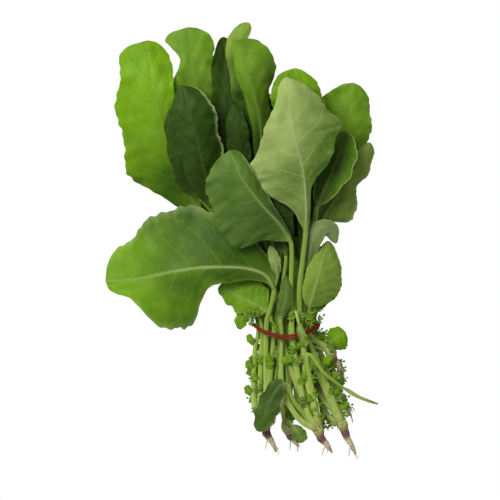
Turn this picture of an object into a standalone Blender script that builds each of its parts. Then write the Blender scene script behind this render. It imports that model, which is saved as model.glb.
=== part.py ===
"""A tied bunch of arugula, lying on its back: seven young plants with roots, held by a doubled rubber band.

The bunch lies along Y, with the leaf tips towards +Y and the roots towards -Y. X runs across it and Z is up.
The origin is on the flat underside of the rubber band. The tables of points are in millimetres.
"""

import math
from dataclasses import dataclass

import bmesh
import bpy
from mathutils import Vector

MM = 0.001

BLADE_THICKNESS = 0.7
RIB_HEIGHT = 1.1
STALK_RADIUS = 2.2
BLADE_COLUMNS = 5
STALK_RINGS = 5
LOBE_STALK_RADIUS = 0.8
BLADE_STATIONS = (0.08, 0.21, 0.34, 0.47, 0.60, 0.73, 0.85, 0.94, 1.0)
SMALL_COLUMNS = 3
SMALL_STATIONS = (0.15, 0.4, 0.65, 0.87, 1.0)
TIP_ROUNDING = 0.2
TIP_HALF_WIDTH = 0.5

TIE_LOWEST_ROW = 5.3
TIE_ROW_PITCH = 4.4
TIE_COLUMN_PITCH = 4.9

BAND_STRAND_RADIUS = 0.7
BAND_STRAND_SPACING = 0.8
BAND_HALF_WIDTH = 20.9
BAND_HALF_HEIGHT = 15.85
BAND_CENTRE_Z = 17.1
BAND_SQUARENESS = 2.3
BAND_STEPS = 56
BAND_SIDES = 6
BAND_SIDE_RISE = 5.0
BAND_FRONT_DROP = 2.4
BAND_UNDER_SHIFT = BAND_STRAND_SPACING
BAND_PRESSED = 0.3

CROWN_RADIUS = 3.6
CROWN_LENGTH = 9.0
CROWN_SIDES = 10
ROOT_RADIUS = 2.1
ROOT_SIDES = 8
ROOT_COLLAR = 1.2
ROOT_STEPS = 6
SIDE_ROOT_RADII = (0.6, 0.45, 0.35)
SIDE_ROOT_SIDES = 5
FOOT_SPREAD = 0.35
JOIN_GAP = 0.3

LEAF_GREEN = (0.13, 0.27, 0.03, 1.0)
ROOT_BEIGE = (0.60, 0.47, 0.30, 1.0)
BAND_RED = (0.42, 0.02, 0.015, 1.0)


@dataclass
class Leaf:
    """One leaf, from its stalk's foot in the crown to the tip of its blade, in millimetres.

    stalk and rib are the points of the stalk and of the midrib, and rib starts where stalk ends.
    left and right are the blade's half widths at even steps along the rib, seen from above with the tip ahead.
    left_slope and right_slope are the margin's rise for each millimetre of half width: base, middle, tip.
    left_roll and right_roll are how far out and how high the bow of each half lies: (0.5, 0) is plain.
    slim leaves are narrow or tucked away, and are built from fewer points.
    """

    stalk: tuple
    rib: tuple
    left: tuple
    right: tuple
    left_slope: tuple = (0.0, -0.1, -0.1)
    right_slope: tuple = (0.0, -0.1, -0.1)
    left_roll: tuple = (0.5, 0.0)
    right_roll: tuple = (0.5, 0.0)
    wave: float = 1.2
    wave_count: float = 2.5
    tooth: float = 0.06
    tooth_count: float = 4.0
    phase: float = 0.0
    underside_up: bool = False
    slim: bool = False


@dataclass
class Lobe:
    """A small leaflet: which leaf's stalk, how far up it, its heading, rise, length and half width."""

    leaf: int
    at: float
    heading: float
    rise: float
    length: float
    half_width: float


@dataclass
class Plant:
    """One plant: its crown's centre, its root (the first point sets the crown's lean), leaves and lobes."""

    crown: tuple
    root: tuple
    leaves: tuple
    lobes: tuple = ()
    rootlets: tuple = ()


def slot(row, column):
    """Where a stalk passes the tie: rows are counted from the lowest, and columns from the middle."""
    return (TIE_COLUMN_PITCH * column, 0.0, TIE_LOWEST_ROW + TIE_ROW_PITCH * row)


def plants():
    """The seven plants by name."""
    left_front = Plant(
        crown=(-13, -57, 20),
        root=((-12, -63, 19), (-9, -68, 17), (-7, -72, 15.5), (-6, -75, 14)),
        leaves=(
            Leaf(
                stalk=(slot(4, -2.5), (-10, 14, 27), (-7, 27, 30)),
                rib=((-7, 27, 30), (-13, 36, 33), (-24, 40, 36), (-37, 41, 38), (-52, 40.5, 38),
                     (-70, 38, 36), (-90, 34, 31), (-112, 32, 25)),
                left=(2, 6, 9, 14, 34, 35, 14, 13),
                right=(2, 12, 27, 35, 40, 32, 25, 24),
                left_slope=(-0.1, -0.35, -0.2),
                right_slope=(0.0, -0.12, -0.15),
                wave=2.0,
                phase=0.6,
            ),
            Leaf(
                stalk=(slot(4, -1.5), (-9, 7, 25), (-11, 13, 25)),
                rib=((-11, 13, 25), (-24, 20, 26), (-34, 25, 25), (-42, 28, 23)),
                left=(1.5, 7, 9, 9, 8, 6, 4),
                right=(1.5, 11, 15, 15, 13, 9, 5),
                left_slope=(-0.1, -0.3, -0.3),
                wave=1.0,
                tooth=0.12,
                phase=1.7,
            ),
            Leaf(
                stalk=((-16, -41, 20), (-15.5, -20, 19), slot(3, -3), (-16.5, 10, 20), (-20, 16, 22)),
                rib=((-20, 16, 22), (-24, 14, 23), (-27.5, 8, 22), (-28.5, 2, 19)),
                left=(1.5, 3, 3.5, 3.8, 3.8, 3.2, 2.4),
                right=(1.5, 3, 3.5, 4.2, 4.2, 3.4, 2.4),
                wave=0.6,
                tooth=0.12,
                slim=True,
            ),
            Leaf(
                stalk=(slot(3, -2), (-8.5, 22, 26), (-5, 36, 33)),
                rib=((-5, 36, 33), (-7, 45, 36), (-10, 54, 37)),
                left=(1.3, 2.5, 3.2, 3.5, 3.2, 2.6, 2),
                right=(1.3, 2.5, 3.2, 3.5, 3.2, 2.6, 2),
                wave=0.4,
                underside_up=True,
                slim=True,
            ),
            Leaf(
                stalk=((-19.5, -45, 19), (-19.5, -14, 17.5), slot(2, -3.5), (-18.5, 10, 14.5), (-22, 18, 15)),
                rib=((-22, 18, 15), (-27, 25, 16), (-31, 32, 16)),
                left=(1.3, 4, 5, 5, 4.5, 3.5, 2.5),
                right=(1.3, 4, 5, 5, 4.5, 3.5, 2.5),
                wave=0.6,
                tooth=0.12,
                slim=True,
            ),
            Leaf(
                stalk=((-17, -44, 17), (-17, -28, 16.5)),
                rib=((-17, -28, 16.5), (-16.5, -21, 16.5), (-16, -14, 17)),
                left=(1.4, 1.5, 1.5, 1.4, 1.2, 1.0, 0.8),
                right=(1.4, 1.5, 1.5, 1.4, 1.2, 1.0, 0.8),
                wave=0.0,
                tooth=0.0,
                slim=True,
            ),
        ),
        lobes=(
            Lobe(2, 0.34, 130, 0.10, 8, 2.4),
            Lobe(4, 0.62, 122, 0.20, 9, 2.2),
            Lobe(0, 0.35, 60, 0.50, 8, 2.2),
            Lobe(1, 0.45, 105, 0.60, 9, 2.2),
            Lobe(4, 0.24, 125, 0.1, 9, 2.4),
            Lobe(4, 0.42, 118, 0.2, 9, 2.4),
        ),
        rootlets=((0.25, 240), (0.6, 320)),
    )
    centre_front = Plant(
        crown=(20, -60, 25),
        root=((22, -66, 24), (25, -69, 22.5), (27, -72, 21), (29, -75, 19)),
        leaves=(
            Leaf(
                stalk=((18, -48, 28), (13, -28, 28), (11.2, -12, 26.6), slot(4.7, 2), (8.6, 12, 27),
                       (8.5, 30, 34), (12, 62, 44)),
                rib=((12, 62, 44), (12, 80, 52), (9.5, 102, 58), (4, 121, 61), (1.5, 140, 60),
                     (0.5, 157, 56)),
                left=(2.2, 9, 28, 33, 18, 9, 7),
                right=(2.2, 2.5, 6, 24, 30, 20, 12),
                left_slope=(0.0, -0.3, -0.1),
                right_slope=(0.0, -0.12, -0.1),
                wave=1.4,
                phase=2.2,
                underside_up=True,
            ),
            Leaf(
                stalk=((14, -51, 28), (9, -34, 29), (5.5, -15, 28), slot(5, 0.8), (3.5, 12, 28), (3, 28, 35),
                       (3, 56, 43)),
                rib=((3, 56, 43), (-4, 67, 49), (-16, 80, 54), (-27, 95, 56), (-35, 112, 55)),
                left=(2, 13, 29, 30, 26, 21, 16),
                right=(2, 2.5, 4.5, 7, 8, 8, 8),
                left_slope=(-0.05, -0.22, -0.15),
                right_slope=(-0.3, -0.5, -0.3),
                wave=0.9,
                tooth=0.03,
                phase=0.3,
            ),
            Leaf(
                stalk=((9, -54, 28), (1, -42, 29), (-2.5, -30, 29), (-2.8, -13, 28), slot(5, -0.5),
                       (-3, 9, 28.5)),
                rib=((-3, 9, 28.5), (-2, 15, 33), (0, 24, 36.5), (-0.5, 36, 38)),
                left=(1.5, 3, 4, 4.5, 4, 3, 2),
                right=(1.5, 3, 4, 4.5, 4, 3, 2),
                wave=0.5,
                slim=True,
            ),
            Leaf(
                stalk=((6, -30, 26), slot(4, -0.5), (-2, 28, 29), (0, 48, 35)),
                rib=((0, 48, 35), (-3, 62, 40), (-6, 78, 43), (-8, 95, 45), (-8, 108, 46)),
                left=(1.5, 6, 9, 10, 9, 7, 4),
                right=(1.5, 6, 9, 10, 9, 7, 4),
                wave=0.8,
            ),
            Leaf(
                stalk=((9, -30, 27), slot(4, 0.5), (4, 8, 27), (5, 14, 29)),
                rib=((5, 14, 29), (7, 24, 31), (9, 34, 31)),
                left=(1.3, 2.5, 3, 3, 3, 2.5, 2),
                right=(1.3, 2.5, 3, 3, 3, 2.5, 2),
                wave=0.5,
                slim=True,
            ),
            Leaf(
                stalk=((5, -42, 32), (1, -31, 35)),
                rib=((1, -31, 35), (-5, -33, 36), (-10, -42, 35), (-14, -52, 33), (-17, -61, 30)),
                left=(1.3, 5, 7, 8, 8, 6.5, 4),
                right=(1.3, 5, 6, 6.5, 6, 5, 4),
                left_slope=(0.0, -0.1, -0.1),
                wave=0.9,
                tooth=0.1,
                phase=1.0,
            ),
            Leaf(
                stalk=((13, -14, 34), (24, -25, 35), (36, -34, 34)),
                rib=((36, -34, 34), (44, -39, 32), (51, -42, 30), (57, -44, 29)),
                left=(1.1, 1.3, 1.2, 1.0, 0.9, 0.8, 0.7),
                right=(1.1, 1.3, 1.2, 1.0, 0.9, 0.8, 0.7),
                wave=0.0,
                tooth=0.0,
                slim=True,
            ),
        ),
        lobes=(
            Lobe(1, 0.35, 130, 0.45, 9, 2.0),
            Lobe(1, 0.27, 50, 0.45, 8, 2.0),
            Lobe(2, 0.40, 150, 0.30, 9, 2.4),
            Lobe(2, 0.62, 60, 0.40, 8, 2.0),
            Lobe(0, 0.12, 120, 0.40, 9, 2.0),
            Lobe(0, 0.22, 150, 0.35, 8, 2.0),
        ),
        rootlets=((0.23, 300), (0.5, 225)),
    )
    right_front = Plant(
        crown=(35, -57, 20),
        root=((37, -62, 19), (39, -67, 17.5), (42, -72, 16), (44, -77, 14)),
        leaves=(
            Leaf(
                stalk=((22, -28, 22), slot(3, 1), (9, 30, 22), (13, 78, 29)),
                rib=((13, 78, 29), (12, 98, 33), (10, 120, 38), (7.5, 142, 43), (5, 163, 44)),
                left=(2, 7, 9, 11, 13, 17, 18),
                right=(2, 7, 11, 14, 16, 15, 10),
                wave=1.4,
                phase=1.2,
            ),
            Leaf(
                stalk=((23, -27, 19), slot(3, 2), (14, 30, 24), (17, 60, 31), (19, 78, 36)),
                rib=((19, 78, 36), (24, 90, 38), (30, 104, 40), (34, 116, 41), (36, 125, 41)),
                left=(2, 6, 8, 9, 9, 8, 6),
                right=(2, 6, 9, 11, 11, 9, 6),
                left_slope=(0.1, 0.35, 0.2),
                right_slope=(0.3, 0.9, 0.7),
                right_roll=(0.95, 1.0),
                wave=0.7,
            ),
            Leaf(
                stalk=((24, -28, 24), (17, -11, 22.5), slot(4, 2.5), (13.5, 8, 26), (14.5, 15, 32)),
                rib=((14.5, 15, 32), (17, 25, 38), (20.5, 38, 39.5), (26, 57, 36.5)),
                left=(1.4, 6, 7.5, 8, 7, 5, 3),
                right=(1.4, 10, 15, 15, 13, 9, 5),
                left_slope=(-0.1, -0.15, -0.2),
                right_slope=(-0.1, -0.4, -0.3),
                wave=0.7,
                tooth=0.03,
                underside_up=True,
            ),
            Leaf(
                stalk=((23, -29, 22), (12.5, -12, 18), slot(2, 1.5), (11, 30, 18), (16, 66, 26)),
                rib=((16, 66, 26), (19, 84, 32), (22, 98, 35), (25, 108, 36)),
                left=(1.4, 3, 4, 5, 5, 4, 3),
                right=(1.4, 3, 4, 5, 5, 4, 3),
                wave=0.5,
                slim=True,
            ),
            Leaf(
                stalk=((23, -32, 21.5), (12, -12, 21), slot(4, 1.5), (12, 20, 24.5), (14, 42, 34)),
                rib=((14, 42, 34), (16, 55, 40), (21, 64, 43), (27, 64, 42), (31, 56, 38)),
                left=(1.4, 4, 5, 5.5, 5.5, 4.5, 3),
                right=(1.4, 4, 5, 5, 5, 4.5, 3),
                left_slope=(-0.1, -0.3, -0.2),
                wave=0.6,
                underside_up=True,
            ),
            Leaf(
                stalk=((30.5, -47, 18), (24, -34, 17.5)),
                rib=((24, -34, 17.5), (20, -26, 17.5), (16.5, -18, 18)),
                left=(1.4, 1.5, 1.5, 1.4, 1.2, 1.0, 0.8),
                right=(1.4, 1.5, 1.5, 1.4, 1.2, 1.0, 0.8),
                wave=0.0,
                tooth=0.0,
                slim=True,
            ),
            Leaf(
                stalk=((26.5, -52, 15), (20, -36, 14.5)),
                rib=((20, -36, 14.5), (17, -28, 14.5), (14.5, -20, 15)),
                left=(1.4, 1.5, 1.5, 1.4, 1.2, 1.0, 0.8),
                right=(1.4, 1.5, 1.5, 1.4, 1.2, 1.0, 0.8),
                wave=0.0,
                tooth=0.0,
                slim=True,
            ),
        ),
        lobes=(
            Lobe(2, 0.10, 40, 0.20, 9, 2.2),
            Lobe(2, 0.22, 55, 0.25, 9, 2.4),
            Lobe(2, 0.34, 40, 0.20, 10, 2.4),
            Lobe(2, 0.46, 50, 0.35, 10, 2.4),
            Lobe(4, 0.30, 75, 0.35, 9, 2.2),
        ),
        rootlets=((0.3, 300), (0.55, 250)),
    )
    centre = Plant(
        crown=(1, -60, 12),
        root=((3, -65, 11), (6, -69, 9), (8, -72, 7)),
        leaves=(
            Leaf(
                stalk=((-3, -28, 18), slot(3, -1), (-6, 30, 20), (-9, 60, 24), (-11, 80, 30)),
                rib=((-11, 80, 30), (-14, 108, 38), (-17, 134, 45), (-21.5, 152, 49), (-25.5, 166, 50),
                     (-33, 179, 50)),
                left=(2, 4, 5, 5, 6, 7, 4),
                right=(2, 5, 6, 7, 10, 19, 16),
                left_slope=(-0.5, -0.9, -0.8),
                right_slope=(-0.2, -0.55, -0.3),
                wave=1.0,
            ),
            Leaf(
                stalk=((2, -28, 18), slot(3, 0), (-1, 30, 20), (-4, 60, 23), (-6, 78, 27)),
                rib=((-6, 78, 26), (-8, 100, 28), (-11, 122, 31), (-14, 150, 32)),
                left=(2, 6, 8, 9, 9, 8, 6),
                right=(2, 6, 8, 9, 9, 8, 6),
                wave=1.0,
                phase=0.8,
            ),
            Leaf(
                stalk=((-5, -28, 14), slot(2, -1.5), (-12, 30, 17), (-20, 60, 21), (-26, 84, 28)),
                rib=((-26, 84, 28), (-28, 105, 33), (-30, 123, 39), (-32, 141, 41)),
                left=(2, 5, 6, 7, 7, 6, 5),
                right=(2, 5, 6, 7, 7, 6, 5),
                left_slope=(-0.2, -0.5, -0.5),
                wave=0.8,
            ),
            Leaf(
                stalk=((-1, -28, 13.5), slot(2, -0.5), (-6, 30, 15), (-15, 65, 18), (-26, 92, 23)),
                rib=((-26, 92, 23), (-31, 120, 28), (-36, 150, 33), (-39, 183, 36)),
                left=(2, 9, 11, 11, 10, 8, 6),
                right=(2, 6, 8, 9, 9, 9, 7),
                left_slope=(0.1, 0.2, 0.2),
                wave=1.2,
            ),
            Leaf(
                stalk=((3, -28, 13.5), slot(2, 0.5), (-2, 30, 15), (-8, 65, 17.6), (-15.5, 94, 22.5)),
                rib=((-15.5, 94, 22.5), (-21, 125, 30), (-27, 155, 38), (-31, 177, 43), (-23, 191, 43)),
                left=(2, 6, 8, 8, 7, 6, 8),
                right=(2, 6, 8, 8, 6, 5, 7),
                wave=1.0,
                underside_up=True,
            ),
            Leaf(
                stalk=((2, -28, 10), slot(1, 0), (2, 30, 11), (3, 60, 14), (2, 80, 17)),
                rib=((2, 80, 17), (2, 105, 20), (0, 130, 22), (-2, 153, 22)),
                left=(2, 8, 12, 14, 14, 12, 9),
                right=(2, 8, 12, 14, 14, 12, 9),
                wave=1.4,
                phase=1.5,
            ),
            Leaf(
                stalk=((2, -55, 16), (4, -58, 19)),
                rib=((4, -58, 19), (6.5, -61, 20), (9, -65, 19), (10, -69, 17)),
                left=(1.2, 3, 4, 4.5, 4.5, 4, 3),
                right=(1.2, 3, 4, 5, 5, 4, 3),
                wave=0.5,
                slim=True,
            ),
        ),
        rootlets=((0.2, 250), (0.5, 300)),
    )
    right_side = Plant(
        crown=(28, -12, 17),
        root=((30, -17, 16), (32.5, -20, 15), (34, -25, 13.5)),
        leaves=(
            Leaf(
                stalk=((19, -5, 18), slot(3, 3), (16.5, 10, 20), (19, 15, 21)),
                rib=((19, 15, 21), (23, 22, 23), (25, 30, 23)),
                left=(1.4, 3.5, 4.5, 5, 4.5, 4, 3),
                right=(1.4, 3.5, 4.5, 5, 4.5, 4, 3),
                wave=0.5,
                slim=True,
            ),
            Leaf(
                stalk=((21.5, -5, 15), slot(2, 3.5), (18.5, 11, 14.5), (22, 18, 15)),
                rib=((22, 18, 15), (26, 27, 16), (28, 37, 16)),
                left=(1.4, 3.5, 4.5, 5, 4.5, 4, 3),
                right=(1.4, 3.5, 4.5, 5, 4.5, 4, 3),
                wave=0.5,
                slim=True,
            ),
            Leaf(
                stalk=((29, -10, 23), (27, -6, 29)),
                rib=((27, -6, 29), (29.5, -4, 32), (32.5, -1.5, 33), (36.5, 1, 32)),
                left=(1.1, 4, 6, 6.5, 6, 5, 4),
                right=(1.1, 6, 8.5, 9, 8.5, 7, 5),
                left_slope=(0.1, 0.2, 0.1),
                right_slope=(0.0, -0.2, -0.2),
                wave=0.5,
            ),
        ),
        lobes=(Lobe(1, 0.45, -20, 0.1, 7, 2.4),),
        rootlets=((0.2, 240), (0.5, 320)),
    )
    left_back = Plant(
        crown=(-16, -47, 8),
        root=((-16.5, -53, 7), (-16, -58, 5.5), (-14, -63, 4)),
        leaves=(
            Leaf(
                stalk=(slot(1, -3), (-24, 30, 13), (-40, 56, 18), (-52, 72, 21)),
                rib=((-52, 72, 21), (-61, 88, 25), (-69, 108, 31), (-77, 130, 35), (-83, 156, 36),
                     (-86, 181, 33)),
                left=(2, 14, 29, 26.5, 26.5, 18.5, 32),
                right=(2, 6, 6, 8, 11, 15, 14),
                left_slope=(-0.2, -0.3, -0.2),
                right_slope=(0.0, -0.1, -0.1),
                wave=1.6,
                tooth_count=2.8,
                phase=0.6,
            ),
            Leaf(
                stalk=(slot(1, -2), (-20, 35, 12), (-37, 64, 17), (-48, 86, 20)),
                rib=((-48, 86, 20), (-51, 110, 24), (-54, 135, 29), (-57, 160, 33), (-61, 189, 34)),
                left=(2, 8, 12, 13, 14, 8, 28),
                right=(2, 8, 11, 12, 12, 14, 20),
                wave=1.2,
                phase=2.0,
            ),
            Leaf(
                stalk=(slot(2, -2.5), (-20, 30, 17), (-33, 56, 22), (-44, 77, 28)),
                rib=((-44, 77, 28), (-49, 95, 38), (-54, 115, 45), (-59, 134, 48), (-64, 152, 47)),
                left=(2, 9, 12, 13, 13, 11, 8),
                right=(2, 9, 13, 14, 15, 15, 12),
                left_slope=(-0.3, -0.6, -0.4),
                right_slope=(-0.2, -0.5, -0.3),
                wave=0.9,
            ),
            Leaf(
                stalk=(slot(1, -1), (-14, 32, 12), (-34, 62, 16), (-53, 84, 24)),
                rib=((-53, 84, 24), (-60, 100, 31), (-66, 119, 37), (-70, 140, 39)),
                left=(2, 9, 10, 9, 8, 7, 5),
                right=(2, 8, 9, 9, 8, 7, 5),
                left_slope=(-0.2, -0.4, -0.3),
                wave=0.8,
            ),
            Leaf(
                stalk=(slot(0, -1.5), (-13, 25, 6), (-20, 48, 7)),
                rib=((-20, 48, 7), (-36, 72, 4), (-52, 98, 1.2), (-63, 125, 0.35), (-70, 150, 4)),
                left=(2, 11, 17, 20, 20, 17, 12),
                right=(2, 10, 15, 18, 19, 17, 12),
                left_slope=(0.0, 0.12, 0.15),
                right_slope=(0.0, 0.1, 0.1),
                wave=1.2,
            ),
            Leaf(
                stalk=(slot(0, -0.5), (-3, 25, 6.5), (-5, 48, 8)),
                rib=((-5, 48, 8), (-13, 75, 9), (-20, 102, 9), (-24, 130, 10), (-26, 156, 12)),
                left=(2, 10, 16, 18, 18, 15, 10),
                right=(2, 8, 13, 16, 16, 14, 10),
                left_slope=(0.0, 0.1, 0.1),
                right_slope=(0.0, -0.15, -0.1),
                wave=1.2,
                phase=1.1,
            ),
        ),
        lobes=(
            Lobe(0, 0.25, 130, 0.1, 9, 2.2),
            Lobe(0, 0.12, 120, 0.2, 9, 2.2),
        ),
        rootlets=((0.27, 240), (0.64, 310)),
    )
    right_back = Plant(
        crown=(33, -40, 8),
        root=((36, -44, 7), (39, -48, 6), (41, -53, 4)),
        leaves=(
            Leaf(
                stalk=(slot(1, 2), (13, 30, 12), (18, 58, 16), (22, 77, 19)),
                rib=((22, 77, 19), (29, 95, 22), (35, 115, 25), (39, 135, 28), (42, 155, 29)),
                left=(2, 8, 15, 20, 23, 21, 13),
                right=(2, 6, 11, 15, 15, 13, 11),
                left_slope=(0.0, -0.05, 0.05),
                right_slope=(0.0, -0.2, -0.3),
                wave=1.6,
                phase=0.9,
            ),
            Leaf(
                stalk=(slot(2, 2.5), (15, 30, 17), (17, 62, 22)),
                rib=((17, 62, 22), (27, 78, 25), (38, 95, 29), (46, 107, 31), (52, 118, 31)),
                left=(2, 5, 8, 8, 7, 5, 4),
                right=(2, 5, 18, 10, 8, 8, 6),
                left_slope=(0.0, 0.1, 0.1),
                right_slope=(-0.1, -0.5, -0.5),
                wave=1.2,
                tooth=0.14,
                underside_up=True,
            ),
            Leaf(
                stalk=(slot(0, 1.5), (9, 28, 6), (12, 52, 7)),
                rib=((12, 52, 7), (20, 78, 4), (26, 104, 1), (29, 126, 0.35), (28, 146, 4)),
                left=(2, 8, 13, 15, 15, 13, 9),
                right=(2, 9, 14, 16, 16, 14, 10),
                left_slope=(0.0, 0.1, 0.1),
                right_slope=(0.0, 0.12, 0.15),
                wave=1.0,
            ),
            Leaf(
                stalk=(slot(1, 1), (7, 30, 10), (9, 56, 13), (9, 78, 14)),
                rib=((9, 78, 14), (12, 98, 13), (13, 118, 12), (12, 138, 13)),
                left=(2, 6, 9, 10, 10, 9, 6),
                right=(2, 6, 9, 10, 10, 9, 6),
                wave=0.8,
            ),
        ),
        lobes=(
            Lobe(1, 0.06, 35, 0.2, 9, 2.2),
            Lobe(1, 0.14, 45, 0.2, 9, 2.2),
        ),
        rootlets=((0.25, 340), (0.5, 20), (0.75, 300)),
    )
    return {
        "left_front": left_front,
        "centre_front": centre_front,
        "right_front": right_front,
        "centre": centre,
        "right_side": right_side,
        "left_back": left_back,
        "right_back": right_back,
    }


def between(values, place):
    """A smooth value at place, from 0 to 1, along evenly spaced numbers or vectors."""
    last = len(values) - 1
    step = min(int(place * last), last - 1)
    t = place * last - step
    a, b, c, d = (values[max(0, min(last, step + k))] for k in (-1, 0, 1, 2))
    if step == 0:
        a = 2 * b - c
    if step == last - 1:
        d = 2 * c - b
    square = 2 * a - 5 * b + 4 * c - d
    cube = 3 * b - a - 3 * c + d
    return 0.5 * (2 * b + (c - a) * t + square * t * t + cube * t**3)


def along(points, place):
    """A point at place, from 0 to 1, of the length of a smooth line through points."""
    reach = [0.0]
    for a, b in zip(points, points[1:]):
        reach.append(reach[-1] + (b - a).length)
    wanted = place * reach[-1]
    k = next((k for k in range(1, len(reach) - 1) if reach[k] >= wanted), len(reach) - 1)
    t = (wanted - reach[k - 1]) / (reach[k] - reach[k - 1])
    return between(points, (k - 1 + t) / (len(points) - 1))


def heading_of(points, place):
    """The direction of a smooth line at place."""
    step = 0.01
    return (along(points, min(1.0, place + step)) - along(points, max(0.0, place - step))).normalized()


def left_of(direction):
    """The level direction to the left of a heading."""
    return Vector((-direction.y, direction.x, 0.0)).normalized()


def half_width(widths, u):
    """The blade's half width at u, rounded off at the tip."""
    width = between(widths, u)
    if u > 1 - TIP_ROUNDING:
        past = (u - 1 + TIP_ROUNDING) / TIP_ROUNDING
        width *= math.sqrt(max(0.0, 1 - past * past))
    return max(width, TIP_HALF_WIDTH)


def blade_point(leaf, rib, u, v):
    """A point of the blade's middle surface: u from base to tip, v from -1 at the right margin to 1."""
    centre = along(rib, u)
    left = left_of(heading_of(rib, u))
    on_left = v >= 0
    widths, slopes, roll = leaf.right, leaf.right_slope, leaf.right_roll
    if on_left:
        widths, slopes, roll = leaf.left, leaf.left_slope, leaf.left_roll
    t = abs(v)
    turn = leaf.phase + (0.0 if on_left else 2.1)
    fade = math.sin(math.pi * min(1.0, u * 1.2)) if u < 0.5 else 1.0
    tooth = leaf.tooth * fade * math.sin(2 * math.pi * leaf.tooth_count * u + turn)
    width = half_width(widths, u) * (1 + tooth)
    rise = width * between(slopes, u) + leaf.wave * fade * math.sin(2 * math.pi * leaf.wave_count * u + turn)
    out = width * (2 * t * (1 - t) * roll[0] + t * t)
    up = 2 * t * (1 - t) * roll[1] + t * t * rise
    point = centre + left * (out if on_left else -out) + Vector((0, 0, up))
    point.z = max(point.z, BLADE_THICKNESS / 2)
    return point


def blade_normal(leaf, rib, u, v):
    """The direction that the blade's upper face looks in."""
    step = 0.01
    ahead = blade_point(leaf, rib, min(1.0, u + step), v) - blade_point(leaf, rib, u - step, v)
    across = blade_point(leaf, rib, u, min(1.0, v + step)) - blade_point(leaf, rib, u, max(-1.0, v - step))
    return ahead.cross(across).normalized()


def round_ring(centre, heading, radius, columns):
    """A ring round a stalk, of two points a column: the upper half from right to left, then the lower."""
    left = left_of(heading)
    up = heading.cross(left)
    angles = [math.pi * (k + 0.5) / columns for k in range(2 * columns)]
    return [centre - left * math.cos(a) * radius + up * math.sin(a) * radius for a in angles]


def blade_ring(leaf, rib, u, columns):
    """A ring round the blade at u, with the rib standing out of its lower face."""
    upper, lower = [], []
    rib_height = RIB_HEIGHT * (1 - u)
    for k in range(columns):
        v = -1 + 2 * k / (columns - 1)
        point = blade_point(leaf, rib, u, v)
        normal = blade_normal(leaf, rib, u, v)
        ridge = rib_height if k == columns // 2 else 0.0
        up, down = (ridge, 0.0) if leaf.underside_up else (0.0, ridge)
        upper.append(point + normal * (BLADE_THICKNESS / 2 + up))
        lower.append(point - normal * (BLADE_THICKNESS / 2 + down))
    return upper + lower[::-1]


def leaf_rings(leaf, foot, foot_radius, columns, stations, stalk_rings):
    """Every ring of a leaf, from the foot of its stalk to the tip."""
    stalk = [Vector(foot)] + [Vector(p) for p in leaf.stalk]
    rib = [Vector(p) for p in leaf.rib]
    whole = stalk + rib[1:2]
    stalk_length = sum((b - a).length for a, b in zip(stalk, stalk[1:]))
    share = stalk_length / (stalk_length + (whole[-1] - whole[-2]).length)
    rings = []
    for k in range(stalk_rings + 1):
        place = share * k / stalk_rings
        radius = foot_radius + (leaf.left[0] * 0.7 - foot_radius) * k / stalk_rings
        rings.append(round_ring(along(whole, place), heading_of(whole, place), radius, columns))
    for u in stations:
        rings.append(blade_ring(leaf, rib, u, columns))
    return rings


def solid_from_rings(rings, columns):
    """A closed mesh through rings of upper and lower points, split into triangles alike on both faces."""
    mesh = bmesh.new()
    rows = [[mesh.verts.new(Vector((p.x, p.y, max(p.z, 0.0))) * MM) for p in ring] for ring in rings]
    around = 2 * columns
    for near, far in zip(rows, rows[1:]):
        for k in range(around):
            n = (k + 1) % around
            if k < columns:
                mesh.faces.new((near[k], near[n], far[n]))
                mesh.faces.new((near[k], far[n], far[k]))
            else:
                mesh.faces.new((near[k], near[n], far[k]))
                mesh.faces.new((near[n], far[n], far[k]))
    for row in (rows[0], rows[-1]):
        for k in range(columns - 1):
            mesh.faces.new((row[k], row[k + 1], row[around - 2 - k], row[around - 1 - k]))
    bmesh.ops.recalc_face_normals(mesh, faces=mesh.faces)
    return mesh


def object_from(name, mesh, collection=None):
    """An object that holds a bmesh."""
    data = bpy.data.meshes.new(name)
    mesh.to_mesh(data)
    mesh.free()
    made = bpy.data.objects.new(name, data)
    (collection or bpy.context.scene.collection).objects.link(made)
    return made


def tube(points, radii, sides):
    """A closed tapered tube through points, with a radius for each."""
    mesh = bmesh.new()
    rows = []
    for k, (point, radius) in enumerate(zip(points, radii)):
        heading = (points[min(k + 1, len(points) - 1)] - points[max(k - 1, 0)]).normalized()
        side = heading.cross(Vector((0, 0, 1))).normalized()
        up = side.cross(heading)
        turns = [2 * math.pi * s / sides for s in range(sides)]
        rows.append([mesh.verts.new((point + side * math.cos(a) * radius + up * math.sin(a) * radius) * MM)
                     for a in turns])
    for near, far in zip(rows, rows[1:]):
        for k in range(sides):
            n = (k + 1) % sides
            mesh.faces.new((near[k], near[n], far[n], far[k]))
    mesh.faces.new(rows[0])
    mesh.faces.new(rows[-1])
    bmesh.ops.recalc_face_normals(mesh, faces=mesh.faces)
    return mesh


def without_slivers(data):
    """Keeps the largest connected piece of a mesh, and drops the slivers that a Boolean leaves."""
    mesh = bmesh.new()
    mesh.from_mesh(data)
    islands, seen = [], set()
    for start in mesh.verts:
        if start in seen:
            continue
        island, edge = {start}, [start]
        while edge:
            for link in edge.pop().link_edges:
                for vert in link.verts:
                    if vert not in island:
                        island.add(vert)
                        edge.append(vert)
        seen |= island
        islands.append(island)
    body = max(islands, key=len)
    bmesh.ops.delete(mesh, geom=[v for v in mesh.verts if v not in body], context="VERTS")
    mesh.to_mesh(data)
    mesh.free()


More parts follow.
